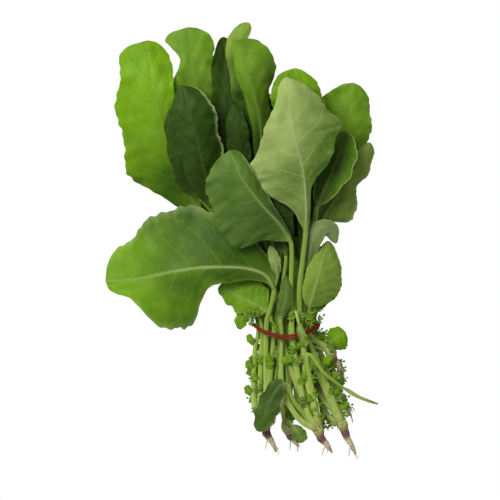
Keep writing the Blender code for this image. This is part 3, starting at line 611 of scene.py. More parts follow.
@dataclass(frozen=True)
class RootFinish:
    """Washed taproot: dry, fibrous bark, cream with brown ring scars, and a purple-brown collar."""

    name: str = "arugula_root"
    collar: str = "#6f4a48"
    flesh: str = "#d8c9a4"
    tip: str = "#bfa67c"
    scar: str = "#86663f"
    roughness: float = 0.78
    # Real scars are finer than this. They are drawn coarser, so that they show.
    scar_mm: float = 0.8

    def make(self) -> bpy.types.Material:
        """Makes the material.

        Returns:
            The material.
        """
        material, tree = new_material(self.name)
        growth = add_node(tree, "ShaderNodeAttribute", {"attribute_name": "growth"})
        place = add_node(tree, "ShaderNodeSeparateColor", Color=growth.outputs["Color"]).outputs["Green"]
        colour = self.collar
        for low, high, tint in ((0.08, 0.32, self.flesh), (0.5, 1.0, self.tip)):
            share = add_node(tree, *EASED_RANGE, n0=place, n1=low, n2=high).outputs[0]
            colour = add_node(tree, *COLOUR_MIX, n0=share, n6=colour, n7=tint).outputs[2]
        spot = add_node(tree, "ShaderNodeTexCoord").outputs["Object"]
        fine = per_size(self.scar_mm)
        stretch = (0.3 * fine, fine, 0.3 * fine)
        drawn = add_node(tree, "ShaderNodeMapping", Vector=spot, Scale=stretch).outputs[0]
        scars = add_node(tree, "ShaderNodeTexNoise", Vector=drawn, Scale=1.0, Detail=4.0).outputs["Fac"]
        share = add_node(tree, *EASED_RANGE, n0=scars, n1=0.52, n2=0.72, n4=0.7).outputs[0]
        colour = add_node(tree, *COLOUR_MIX, n0=share, n6=colour, n7=self.scar).outputs[2]
        bump = add_node(tree, "ShaderNodeBump", Strength=0.7, Distance=0.5 * MM, Height=scars).outputs[0]
        skin = add_node(
            tree, "ShaderNodeBsdfPrincipled", Base_Color=colour, Roughness=self.roughness, Normal=bump
        )
        add_node(tree, "ShaderNodeOutputMaterial", Surface=skin.outputs[0])
        return material


@dataclass(frozen=True)
class RubberFinish:
    """Natural rubber band, cut from a dyed tube: satin red with a little dust and darker worn spots."""

    name: str = "red_natural_rubber"
    red: str = "#7e1c0a"
    worn: str = "#4e0f04"
    roughness: float = 0.55
    # Real dust is too fine to show, so it is drawn as spots of this size.
    dust_mm: float = 2.4

    def make(self) -> bpy.types.Material:
        """Makes the material.

        Returns:
            The material.
        """
        material, tree = new_material(self.name)
        spot = add_node(tree, "ShaderNodeTexCoord").outputs["Object"]
        noise = add_node(tree, "ShaderNodeTexNoise", Vector=spot, Scale=per_size(self.dust_mm), Detail=4.0)
        dust = noise.outputs["Fac"]
        share = add_node(tree, *EASED_RANGE, n0=dust, n1=0.4, n2=0.75).outputs[0]
        colour = add_node(tree, *COLOUR_MIX, n0=share, n6=self.red, n7=self.worn).outputs[2]
        bump = add_node(tree, "ShaderNodeBump", Strength=0.3, Distance=0.2 * MM, Height=dust).outputs[0]
        skin = add_node(
            tree, "ShaderNodeBsdfPrincipled",
            Base_Color=colour, Roughness=self.roughness, IOR=1.52, Normal=bump,
        )
        skin.inputs["Specular IOR Level"].default_value = 0.2
        add_node(tree, "ShaderNodeOutputMaterial", Surface=skin.outputs[0])
        return material


@dataclass(frozen=True)
class Finishes:
    """Every material of the bunch, made once."""

    blades: dict[Tone, tuple[bpy.types.Material, bpy.types.Material]]
    stalk: bpy.types.Material
    root: bpy.types.Material
    rubber: bpy.types.Material

    @classmethod
    def make(cls) -> "Finishes":
        """Makes the materials of every tone, the stalks, the roots and the band."""
        blades = {tone: (finish.side(True), finish.side(False)) for tone, finish in BLADES.items()}
        return cls(blades, StalkFinish().make(), RootFinish().make(), RubberFinish().make())

    def leaf(self, tone: Tone) -> list[bpy.types.Material]:
        """The three materials of a leaf: its upper side, its underside and its stalk."""
        return [*self.blades[tone], self.stalk]


def slot(row: float, column: float) -> Point:
    """Where a stalk passes the tie: rows are counted from the lowest, and columns from the middle."""
    return (TIE_COLUMN_PITCH * column, 0.0, TIE_LOWEST_ROW + TIE_ROW_PITCH * row)


@dataclass
class Leaf:
    """One leaf, from its stalk's foot in the crown to the tip of its blade, in millimetres.

    stalk and rib are the points of the stalk and of the midrib, and rib starts where stalk ends. left and
    right are the blade's half widths at even steps along the rib, seen from above with the tip ahead.
    Where right isn't given, it is as left. The slopes are the margin's rise for each millimetre of half
    width, at the base, middle and tip. The rolls say how far out and how high the bow of each half lies:
    (0.5, 0) is a plain curve. rims says how pale the left and right margins are, partly for the underside
    showing at a turned margin and partly as a painted highlight on a lit edge. shade is painted shade: it
    says how deep the green is at the base, the middle and the tip, and what the left and right margins
    add to it. On the dried stalk end it browns the tip. rib_pale is how far the midrib stands out in colour.
    """

    stalk: Points
    rib: Points
    left: Numbers
    right: Numbers | None = None
    left_slope: Numbers = (0.0, -0.1, -0.1)
    right_slope: Numbers = (0.0, -0.1, -0.1)
    left_roll: Numbers = (0.5, 0.0)
    right_roll: Numbers = (0.5, 0.0)
    wave: float = 1.2
    wave_count: float = 2.5
    tooth: float = 0.06
    tooth_count: float = 4.0
    phase: float = 0.0
    underside_up: bool = False
    slim: bool = False
    tone: Tone = Tone.FRESH
    # How pale each margin is: partly the underside at a turned margin, partly a painted highlight on a lit
    # edge.
    pale_and_lit_rims: Numbers = (0.0, 0.0)
    # Painted shade along and across the blade.
    shade: Numbers = (0.7, 0.4, 0.3, 0.0, 0.0)
    rib_pale: float = 0.5

    THICKNESS = 0.45
    RIB_HEIGHT = 1.0
    STALK_RADIUS = 2.2
    TIP_ROUNDING = 0.2
    TIP_HALF_WIDTH = 0.5
    FINE_TOOTH = 0.014
    FINE_RUFFLE = 0.8
    SIDE_VEINS = 7.0
    VEIN_SLANT = 1.6
    QUILT = 0.32
    BUCKLE = 0.8
    FULL_RELIEF_WIDTH = 15.0
    RIGHT_PHASE = 2.1
    SMALL_BLADE = 25.0
    COLUMNS = 11
    SLIM_COLUMNS = 6
    RINGS_PER_MM = 0.95
    RING_LIMITS = (16, 84)
    STALK_RINGS_PER_MM = 0.35
    STALK_RING_LIMITS = (4, 40)
    STALK_SHARE = 0.7
    NECK_SHARE = 0.09
    LOWEST = 0.02

    def __post_init__(self) -> None:
        """Gives the right half the left half's widths where it has none."""
        self.right = self.left if self.right is None else self.right

    def half_width(self, widths: Numbers, u: np.ndarray) -> np.ndarray:
        """The blade's half width at u from the widths of one half, rounded off at the tip."""
        past = np.clip((u - 1 + self.TIP_ROUNDING) / self.TIP_ROUNDING, 0, 1)
        return np.maximum(between(np.array(widths, float), u) * np.sqrt(1 - past * past), self.TIP_HALF_WIDTH)

    def surface(self, u: np.ndarray, v: np.ndarray) -> tuple[np.ndarray, np.ndarray]:
        """The blade's middle surface.

        Args:
            u: shares along the blade, from 0 at its base to 1 at its tip.
            v: shares across it, from -1 at the right margin to 1 at the left.

        Returns:
            The points, as u by v by 3, and each point's distance from the midrib in millimetres.
        """
        rib = np.array(self.rib, float)
        centre = along(rib, u)
        left = left_of(headings(rib, u))
        fade = np.where(u < 0.5, np.sin(np.pi * np.minimum(1.0, u * 1.2)), 1.0)
        points = np.empty((len(u), len(v), 3))
        away = np.empty((len(u), len(v)))
        for on_left, widths, slopes, roll in (
            (True, self.left, self.left_slope, self.left_roll),
            (False, self.right, self.right_slope, self.right_roll),
        ):
            columns = v >= 0 if on_left else v < 0
            t = np.abs(v[columns])[None, :]
            turn = self.phase + (0.0 if on_left else self.RIGHT_PHASE)
            width = self.half_width(widths, u)
            teeth = self.tooth * np.sin(2 * np.pi * self.tooth_count * u + turn)
            fine = np.sin(2 * np.pi * 13 * u + 3 * turn) + np.sin(2 * np.pi * 21 * u + 5 * turn)
            fine = self.FINE_TOOTH * fine
            width = width * (1 + fade * (teeth + fine))
            rise = width * between(np.array(slopes, float), u)
            rise = rise + self.wave * fade * np.sin(2 * np.pi * self.wave_count * u + turn)
            size = np.minimum(1.0, width / self.FULL_RELIEF_WIDTH)
            ruffle = np.sin(2 * np.pi * 8.5 * u + 2 * turn) + 0.6 * np.sin(2 * np.pi * 14.5 * u + 4 * turn)
            ruffle = self.FINE_RUFFLE * fade * size * ruffle
            order = self.SIDE_VEINS * u[:, None] - self.VEIN_SLANT * t**1.25 + (0.5 if on_left else 0.0)
            quilt = -self.QUILT * size[:, None] * np.cos(2 * np.pi * order) * np.sin(np.pi * t) ** 0.8
            quilt = quilt * (-1 if self.underside_up else 1)
            buckle = self.BUCKLE * size[:, None] * np.sin(2 * np.pi * (2.3 * u[:, None] + 0.7 * t) + 3 * turn)
            out = width[:, None] * (2 * t * (1 - t) * roll[0] + t * t)
            up = 2 * t * (1 - t) * roll[1] + t * t * rise[:, None] + t**3 * ruffle[:, None]
            up = up + (quilt + buckle * np.sin(np.pi * t)) * fade[:, None]
            points[:, columns] = centre[:, None] + left[:, None] * (out if on_left else -out)[..., None]
            points[:, columns, 2] += up
            away[:, columns] = out
        points[..., 2] = np.maximum(points[..., 2], self.THICKNESS / 2)
        return points, away

    def skin(self, foot: np.ndarray, foot_radius: float) -> Skin:
        """Lofts the leaf: stalk rings that ease into rings round the blade, with the rib standing out below.

        Args:
            foot: where the stalk starts.
            foot_radius: the stalk's radius there.

        Returns:
            The leaf's skin. Its material numbers are 0 for the upper side, 1 for the underside and 2 for
            the stalk.
        """
        length = np.sum(np.linalg.norm(np.diff(np.array(self.rib, float), axis=0), axis=1))
        half = self.SLIM_COLUMNS if self.slim or length < self.SMALL_BLADE else self.COLUMNS
        rows = int(np.clip(length * self.RINGS_PER_MM, *self.RING_LIMITS))
        stalk = np.array([tuple(foot), *self.stalk], float)
        whole = np.concatenate([stalk, np.array(self.rib[1:2], float)])
        stalk_length = np.sum(np.linalg.norm(np.diff(stalk, axis=0), axis=1))
        share = stalk_length / (stalk_length + np.linalg.norm(whole[-1] - whole[-2]))
        steps = int(np.clip(stalk_length * self.STALK_RINGS_PER_MM, *self.STALK_RING_LIMITS))
        climb = np.arange(steps + 1) / steps
        v = np.concatenate([0.965 * (np.arange(1, half + 1) / half) ** 1.3, [0.985, 1.0]])
        v = np.concatenate([-v[::-1], [0.0], v])
        columns = len(v)
        radius = foot_radius + (self.left[0] * self.STALK_SHARE - foot_radius) * climb
        round_rings, groove = self._round_rings(whole, climb * share, radius, columns)
        u = np.linspace(0, 1, rows) ** 0.95
        u[0] = 0.004
        points, away = self.surface(u, v)
        normal = unit(np.cross(np.gradient(points, axis=0), np.gradient(points, axis=1)))
        strength = bump_at(away / (0.32 + 0.62 * (1 - u)[:, None] ** 1.2), 1.0)
        ridge, sunk = self.RIB_HEIGHT * (1 - u)[:, None] * strength, -0.15 * strength
        up, down = (ridge, sunk) if self.underside_up else (sunk, ridge)
        upper = points + normal * (self.THICKNESS / 2 + up)[..., None]
        lower = points - normal * (self.THICKNESS / 2 + down)[..., None]
        blade = np.concatenate([upper, lower[:, ::-1]], axis=1)
        neck = smooth_step(u / self.NECK_SHARE)[:, None, None]
        slimmer = self.left[0] * self.STALK_SHARE * (1 - 0.5 * u)
        inner = self._round_rings(np.array(self.rib, float), u, slimmer, columns)[0]
        blade = blade * neck + inner * (1 - neck)
        rings = np.concatenate([round_rings[:-1], blade])
        rings[..., 2] = np.maximum(rings[..., 2], self.LOWEST)
        return self._painted(rings, u, v, strength, groove, climb)

    def _painted(
        self,
        rings: np.ndarray,
        u: np.ndarray,
        v: np.ndarray,
        strength: np.ndarray,
        groove: np.ndarray,
        climb: np.ndarray,
    ) -> Skin:
        """Gives the leaf's rings what its materials read.

        Args:
            rings: the corners, first the stalk's and then the blade's.
            u: the blade rings' shares along it.
            v: the columns' shares across it.
            strength: how near each of the blade's points is to the midrib.
            groove: the stalk's groove, round a ring.
            climb: the stalk rings' places from foot to head.

        Returns:
            The leaf's skin.
        """
        steps, columns = len(climb) - 1, len(v)
        growth = np.zeros((len(rings), 2 * columns, 4))
        growth[:steps, :, 0] = groove
        growth[:steps, :, 1] = climb[:steps, None]
        across = np.concatenate([v, v[::-1]])
        face = np.concatenate([strength, strength[:, ::-1]], axis=1)
        growth[steps:, :, 0] = self.rib_pale * face * np.minimum(1, 1.3 - u)[:, None]
        # The margins' paleness: partly the underside showing at a turned margin, partly a painted highlight
        # on a lit edge.
        growth[steps:, :, 1] = np.where(across > 0, *self.pale_and_lit_rims) * smooth_step((np.abs(across) - 0.94) / 0.035)
        # Painted shade: the green deepens along the blade and towards each margin as the leaf's shade gives,
        # and a little less at the very margins.
        depth = between(np.array(self.shade[:3], float), u)[:, None]
        sides = self.shade[3] * np.maximum(0, across) + self.shade[4] * np.maximum(0, -across)
        growth[steps:, :, 2] = np.clip(depth + sides - 0.12 * across**4, 0, 1)
        growth[steps:, :, 3] = 0.8 * (1 - smooth_step(u / 0.14)[:, None])
        slots = np.full((len(rings) - 1, 2 * columns), 2)
        slots[steps:, : columns - 1] = 1 if self.underside_up else 0
        slots[steps:, columns - 1 :] = 0 if self.underside_up else 1
        shares = np.zeros((len(rings), 2 * columns, 2))
        shares[steps:, :, 0] = u[:, None]
        shares[..., 1] = across * 0.5 + 0.5
        return Skin(rings, growth, shares, slots)

    @staticmethod
    def _round_rings(
        points: np.ndarray, place: np.ndarray, radius: np.ndarray, columns: int
    ) -> tuple[np.ndarray, np.ndarray]:
        """Fluted rings round a stalk.

        Args:
            points: the line that they lie round.
            place: their shares of its length.
            radius: their radii.
            columns: half the corners of a ring.

        Returns:
            The corners, each ring's upper half first, from right to left, and the groove's
            depth round a ring.
        """
        heading = headings(points, place)
        left = left_of(heading)
        up = np.cross(heading, left)
        angle = np.pi * (np.arange(2 * columns) + 0.5) / columns
        groove = bump_at(angle - np.pi / 2, 0.32)
        r = (radius[:, None] * (1 + 0.03 * np.cos(7 * angle) - 0.06 * groove)[None])[..., None]
        centre = along(points, place)[:, None]
        across = left[:, None] * np.cos(angle)[None, :, None] * r
        return centre - across + up[:, None] * np.sin(angle)[None, :, None] * r, 0.12 * groove


def bare_stalk(stalk: Points, rib: Points) -> Leaf:
    """A stalk that has lost its blade: a leaf hardly wider than its own stalk."""
    widths = (1.4, 1.5, 1.5, 1.4, 1.2, 1.0, 0.8)
    return Leaf(stalk=stalk, rib=rib, left=widths, wave=0.0, tooth=0.0, slim=True)


@dataclass
class Lobe:
    """A small leaflet: which leaf's stalk, how far up it, its heading, rise, length and half width."""

    leaf: int
    at: float
    heading: float
    rise: float
    length: float
    half_width: float

    STALK_RADIUS = 0.8

    def skin(self, stalk: np.ndarray) -> Skin:
        """Lofts the leaflet from a point inside the stalk.

        Args:
            stalk: the points of the stalk that it grows from.

        Returns:
            The leaflet's skin.
        """
        base = along(stalk, np.array([self.at]))[0]
        angle = math.radians(self.heading)
        way = np.array([math.cos(angle), math.sin(angle), 0.0])
        start = tuple(base + way * 1.5)
        tip = base + way * self.length + np.array([0, 0, self.rise * self.length])
        middle = (base + tip) / 2 + np.array([0, 0, 0.12 * self.length])
        widths = (0.9, self.half_width, 0.8 * self.half_width)
        small = Leaf(
            stalk=(start,),
            rib=(start, tuple(middle), tuple(tip)),
            left=widths,
            wave=0.4,
            tooth=0.16,
            tooth_count=2.2,
            phase=self.heading * 0.1,
            slim=True,
            # Painted shade, deepest at the leaflet's foot and on its right margin.
            shade=(0.4, 0.15, 0.1, 0.0, 0.3),
        )
        return small.skin(base, self.STALK_RADIUS)


@dataclass(frozen=True)
class Frill:
    """A tiny divided leaflet that sprouts from a stalk: a thread stem with pairs of narrow toothed ears."""

    base: np.ndarray
    heading: float
    rise: float
    length: float

    STEM_RADIUS = 0.34
    EAR_SPACING = 1.7

    def skins(self, random: np.random.Generator) -> list[Skin]:
        """Lofts the stem and its ears.

        Args:
            random: the seeded source of small differences.

        Returns:
            One skin for each.
        """
        angle = math.radians(self.heading)
        way = np.array([math.cos(angle), math.sin(angle), self.rise])
        bend = np.array([random.uniform(-0.2, 0.2), random.uniform(-0.1, 0.2), random.uniform(-0.1, 0.2)])
        middle = self.base + way * self.length * 0.5
        line = np.array([self.base, middle, self.base + (way + bend) * self.length])
        place = np.linspace(0, 1, 7)
        stem = tube(along(line, place), self.STEM_RADIUS * (1 - 0.6 * place), 5)
        made = [Skin(stem, growth_of(stem, 0.8), None, np.full((6, 5), 2))]
        pairs = max(2, round(self.length * 0.75 / self.EAR_SPACING))
        spots = [(0.25 + 0.7 * k / pairs, side * 58) for k in range(pairs) for side in (-1, 1)]
        for at, spread in [*spots, (0.96, 0)]:
            start = along(line, np.array([at + random.uniform(-0.03, 0.03)]))[0]
            turn = angle + math.radians(spread + random.uniform(-14, 14))
            ahead = np.array([math.cos(turn), math.sin(turn), random.uniform(-0.4, 0.5)])
            reach = (1.25 - 0.5 * at) * random.uniform(1.8, 3.4)
            s = np.linspace(0, 1, 9)
            sag = np.outer(s**2, np.array([0, 0, random.uniform(-0.3, 0.2)])) * reach
            lobes = 1 + 0.35 * np.sin(2 * np.pi * 2.4 * s + spread)
            width = reach * 0.27 * np.sin(np.pi * s**0.8 * 0.97) * lobes + 0.08
            ear = tube(start + np.outer(s, ahead) * reach + sag, width, 6, flat=0.18)
            growth = growth_of(ear)
            growth[..., 2] = random.uniform(0.0, 0.35)
            made.append(Skin(ear, growth))
        return made


@dataclass
class Plant:
    """One plant: its crown's centre, its root (the first point sets the crown's lean), leaves and lobes.

    Each rootlet is where it leaves the root and its heading. A scrap is the foot of a small leaf and the
    leaf: a small torn leaf, or a dark leaf set in behind the stalks whose colour is painted shade. A
    strand is a point that a thin stalk bows through on its way to the tie. A sprig is a frill's base,
    heading and length.
    """

    name: str
    crown: Point
    root: Points
    leaves: tuple[Leaf, ...]
    lobes: tuple[Lobe, ...] = ()
    rootlets: tuple[Numbers, ...] = ()
    scraps: tuple[tuple[Point, Leaf], ...] = ()
    strands: Points = ()
    sprigs: tuple[Numbers, ...] = ()
    slender: int = 3
    frills: int = 14

    CROWN_RADIUS = 3.6
    CROWN_LENGTH = 9.0
    ROOT_RADIUS = 2.1
    ROOT_COLLAR = 1.2
    HAIRS = 4
    FOOT_SPREAD = 0.35
    SCRAP_FOOT_RADIUS = 1.0
    SLENDER_FOOT_RADIUS = 1.5
    JOIN_GAP = 0.3
    FRILLS_END = 20.0
    ROOTS_END = -79.0

    def axis(self) -> np.ndarray:
        """The direction from the root into the crown."""
        return unit(np.array(self.crown, float) - np.array(self.root[0], float))

    def build(self, finishes: Finishes) -> None:
        """Builds the plant's pieces.

        Args:
            finishes: the materials.
        """
        random = np.random.default_rng(int(abs(self.crown[0]) * 10) + 3)
        node = f"plant_{self.name}"
        crown = build_piece(f"{self.name}_crown", [self._crown_skin()], [finishes.stalk])
        place_piece(crown, node)
        axis = self.axis()
        side = unit(np.cross(axis, [0, 0, 1]))
        up = np.cross(side, axis)
        for k, leaf in enumerate(self.leaves):
            turn = 2 * math.pi * k / len(self.leaves)
            out = (side * math.cos(turn) + up * math.sin(turn)) * self.FOOT_SPREAD * self.CROWN_RADIUS
            skin = leaf.skin(np.array(self.crown) + out, Leaf.STALK_RADIUS)
            piece = build_piece(f"{self.name}_leaf_{k}", [skin], finishes.leaf(leaf.tone))
            place_piece(piece, node)
        small = [lobe.skin(self._stalk(lobe.leaf)) for lobe in self.lobes]
        for skin in small:
            skin.face_slots += 3
        small += self._frill_skins(random)
        greens = [*finishes.leaf(Tone.FRESH), *finishes.leaf(Tone.BRIGHT), *finishes.leaf(Tone.PALE)]
        place_piece(build_piece(f"{self.name}_leaflets", small, greens), node)
        for k, (foot, leaf) in enumerate(self.scraps):
            skin = leaf.skin(np.array(foot, float), self.SCRAP_FOOT_RADIUS)
            scrap = build_piece(f"{self.name}_scrap_{k}", [skin], finishes.leaf(leaf.tone))
            place_piece(scrap, node)
        foot, radius = np.array(self.crown, float), self.SLENDER_FOOT_RADIUS
        thin = [leaf.skin(foot, radius) for leaf in self._slender_leaves(random)]
        slender = build_piece(f"{self.name}_slender_leaves", thin, finishes.leaf(Tone.DEEP))
        place_piece(slender, node)
        roots = build_piece(f"{self.name}_roots", self._root_skins(random), [finishes.root])
        place_piece(roots, f"root_{self.name}")
        LOG.info("plant %s is built, with %d leaves", self.name, len(self.leaves))

    def _stalk(self, k: int) -> np.ndarray:
        """The points of a leaf's stalk, from the crown up."""
        return np.array([self.crown, *self.leaves[k].stalk], float)

    def _crown_skin(self) -> Skin:
        """The short stem that the stalks grow from, ringed with the scars of old leaves.

        Returns:
            Its skin.
        """
        place = np.linspace(0, 1, 22)
        centres = np.array(self.crown, float) + self.axis() * self.CROWN_LENGTH * (place - 0.5)[:, None]
        widths = [self.ROOT_RADIUS + 0.4, self.CROWN_RADIUS, 0.9 * self.CROWN_RADIUS, 0.6 * self.CROWN_RADIUS]
        radius = np.interp(place, [0, 0.35, 0.7, 1.0], widths)[:, None]
        turn = 2 * np.pi * np.arange(28) / 28
        ringed = 0.015 * np.sin(2 * np.pi * 5 * place)[:, None]
        scars = 1 + ringed + 0.05 * np.sin(5 * turn + 7 * place[:, None])
        rings = tube(centres, radius * scars, 28)
        return Skin(rings, growth_of(rings, 0.10 * place))

    def _frill_skins(self, random: np.random.Generator) -> list[Skin]:
        """Frills that sprout along the stalks, outwards and up.

        Args:
            random: the plant's seeded source of small differences.

        Returns:
            Their skins.
        """
        made = []
        for _ in range(self.frills):
            stalk = self._stalk(int(random.integers(len(self.leaves))))
            base = along(stalk, np.array([random.uniform(0.06, 0.6)]))[0]
            if base[1] > self.FRILLS_END:
                continue
            outward = -1 if base[0] > 0 else 1
            heading = 90 + outward * random.uniform(-10, 65)
            made.append(Frill(base, heading, random.uniform(0.1, 0.6), random.uniform(4, 8)))
        made += [Frill(np.array([x, y, z]), heading, 0.1, length) for x, y, z, heading, length in self.sprigs]
        skins = []
        for frill in made:
            tone = 3 * int(random.integers(3))
            for skin in frill.skins(random):
                skin.face_slots = tone + skin.slots()
                skins.append(skin)
        return skins

    def _slender_leaves(self, random: np.random.Generator) -> list[Leaf]:
        """Thin young leaves that fill the sheaf behind the others.

        Args:
            random: the plant's seeded source of small differences.

        Returns:
            The leaves.
        """
        made = []
        crown = np.array(self.crown, float)
        for k in range(self.slender + len(self.strands)):
            turn, out = random.uniform(0, 2 * math.pi), random.uniform(0.1, 0.75)
            tie = np.array([18.0 * out * math.cos(turn), 0.0, 14.0 + 12.0 * out * math.sin(turn)])
            low = crown + (tie - crown) * 0.5 + np.array([random.uniform(-3, 3), 0, random.uniform(-3, 0)])
            if k < len(self.strands):
                low = np.array(self.strands[k], float)
                tie[0] = 0.55 * low[0]
            reach = random.uniform(16, 42)
            head = tie + np.array([random.uniform(-4, 3), reach, random.uniform(-1, 4)])
            tip = head + np.array([random.uniform(-7, 7), random.uniform(18, 30), random.uniform(-2, 3)])
            middle = (head + tip) / 2 + np.array([random.uniform(-2, 2), 0, 1.5])
            width = random.uniform(3, 6)
            made.append(
                Leaf(
                    stalk=(tuple(low), tuple(tie), tuple(head)),
                    rib=(tuple(head), tuple(middle), tuple(tip)),
                    left=(1.5, 0.6 * width, width, 0.8 * width),
                    right=(1.5, width, 0.7 * width, 0.6 * width),
                    wave=0.6,
                    tooth=0.16,
                    phase=random.uniform(0, 6),
                    slim=True,
                )
            )
        return made

    def _root_skins(self, random: np.random.Generator) -> list[Skin]:
        """The taproot, its side roots and a few root hairs, drawn coarser than real ones so that they show.

        Args:
            random: the plant's seeded source of small differences.

        Returns:
            Their skins.
        """
        axis = self.axis()
        top = np.array(self.crown, float) - axis * (self.CROWN_LENGTH / 2 + self.JOIN_GAP)
        path = np.array([top - axis * self.ROOT_COLLAR, *self.root[1:]], float)
        place = np.linspace(0, 1, 44)
        centres = np.concatenate([[top], along(path, place)])
        radius = np.concatenate([[self.ROOT_RADIUS + 0.5], self.ROOT_RADIUS * (1 - place) ** 0.8 + 0.45])
        turn = 2 * np.pi * np.arange(18) / 18
        share = np.concatenate([[0], place])
        rough = 0.05 * np.sin(34 * share[:, None] + 2 * turn)
        knobs = 1 + rough + 0.05 * np.sin(5 * turn + 9 * share[:, None])
        heading = unit(np.gradient(centres, axis=0))
        heading[0] = -axis
        rings = tube(centres, radius[:, None] * knobs, 18, heading)
        rings[..., 2] = np.maximum(rings[..., 2], 0.05)
        made = [Skin(rings, growth_of(rings, share))]
        for at, heading_deg in self.rootlets:
            start = along(path, np.array([at]))[0]
            angle = math.radians(heading_deg)
            way = np.array([math.cos(angle), math.sin(angle), -0.15])
            line = np.array([start, start + way * 3, start + way * 4.5 + np.array([0, -3, 0])])
            made.append(self._thread(line, 0.5))
        for _ in range(self.HAIRS):
            start = along(path, np.array([random.uniform(0.1, 0.95)]))[0]
            onward = unit(path[-1] - path[0])
            way = unit(onward + random.uniform(-0.6, 0.6, 3))
            reach = random.uniform(3, 7)
            bend = random.normal(0, 0.8, (2, 3))
            line = np.array([start, start + way * reach * 0.5 + bend[0], start + way * reach + bend[1]])
            line[:, 1] = np.maximum(line[:, 1], self.ROOTS_END)
            line[:, 2] = np.maximum(line[:, 2], 0.4)
            made.append(self._thread(line, 0.22))
        return made

    @staticmethod
    def _thread(line: np.ndarray, radius: float) -> Skin:
        """A thin root, tapered to the end.

        Args:
            line: the points that it runs through.
            radius: its radius at the start.

        Returns:
            Its skin.
        """
        place = np.linspace(0, 1, 10)
        rings = tube(along(line, place), radius * (1 - 0.6 * place), 8)
        return Skin(rings, growth_of(rings, 0.4 + 0.6 * place))


@dataclass
class RubberBand:
    """The rubber band: one loop, twice round the stalks, that crosses at the left, pressed flat below."""

    strand_radius: float = 0.7
    strand_spacing: float = 0.8
    half_width: float = 20.9
    half_height: float = 15.85
    centre_z: float = 17.1
    squareness: float = 2.3
    side_rise: float = 5.0
    front_drop: float = 2.4
    under_shift: float = 0.8
    pressed: float = 0.3
    strand_squareness: float = 3.4
    steps: int = 420
    sides: int = 14

    def build(self, finishes: Finishes) -> None:
        """Builds the band.

        Args:
            finishes: the materials.
        """
        turn = 4 * np.pi * np.arange(self.steps) / self.steps
        c, s = np.cos(turn), np.sin(turn)
        power = 2 / self.squareness
        x = np.sign(c) * np.abs(c) ** power * self.half_width
        z = np.sign(s) * np.abs(s) ** power * self.half_height
        y = self.side_rise * np.abs(c) ** 1.5 - self.front_drop * np.maximum(0, s) ** 2
        y = y + self.under_shift * np.maximum(0, -s) ** 2
        twist = turn / 2 - np.pi / 4 * s
        out = unit(np.stack([x / self.half_width**2, 0 * x, z / self.half_height**2], axis=1))
        offset = out * np.sin(twist)[:, None]
        offset[:, 1] += np.cos(twist)
        points = np.stack([x, y, self.centre_z + z], axis=1) + offset * self.strand_spacing
        heading = unit(np.roll(points, -1, 0) - np.roll(points, 1, 0))
        outward = unit(np.cross(heading, np.array([0.0, 1.0, 0.0])))
        side = np.cross(outward, heading)
        angle = 2 * np.pi * np.arange(self.sides) / self.sides
        power = self.strand_squareness
        square = (np.abs(np.cos(angle)) ** power + np.abs(np.sin(angle)) ** power) ** (-1 / power)
        r = (self.strand_radius * square)[None, :, None]
        ring = outward[:, None] * np.cos(angle)[None, :, None] + side[:, None] * np.sin(angle)[None, :, None]
        rings = points[:, None] + ring * r
        rings[..., 2] = np.maximum(rings[..., 2] - rings[..., 2].min() - self.pressed, 0.0)
        place_piece(self._closed_loop(rings, finishes.rubber), "rubber_band")
        LOG.info("rubber band: %d rings", self.steps)

    @staticmethod
    def _closed_loop(rings: np.ndarray, material: bpy.types.Material) -> bpy.types.Object:
        """Builds a mesh of rings whose last one joins its first.

        Args:
            rings: the corners.
            material: the material.

        Returns:
            The object.
        """
        rows, around = rings.shape[:2]
        r, c = np.meshgrid(np.arange(rows), np.arange(around), indexing="ij")
        n, m = (c + 1) % around, (r + 1) % rows
        quads = np.stack([r * around + c, m * around + c, m * around + n, r * around + n], -1).reshape(-1, 4)
        mesh = bpy.data.meshes.new("rubber_band_doubled")
        mesh.from_pydata((rings.reshape(-1, 3) * MM).tolist(), [], quads.tolist())
        mesh.materials.append(material)
        mesh.polygons.foreach_set("use_smooth", np.ones(len(quads), bool))
        made = bpy.data.objects.new("rubber_band_doubled", mesh)
        bpy.context.scene.collection.objects.link(made)
        return made


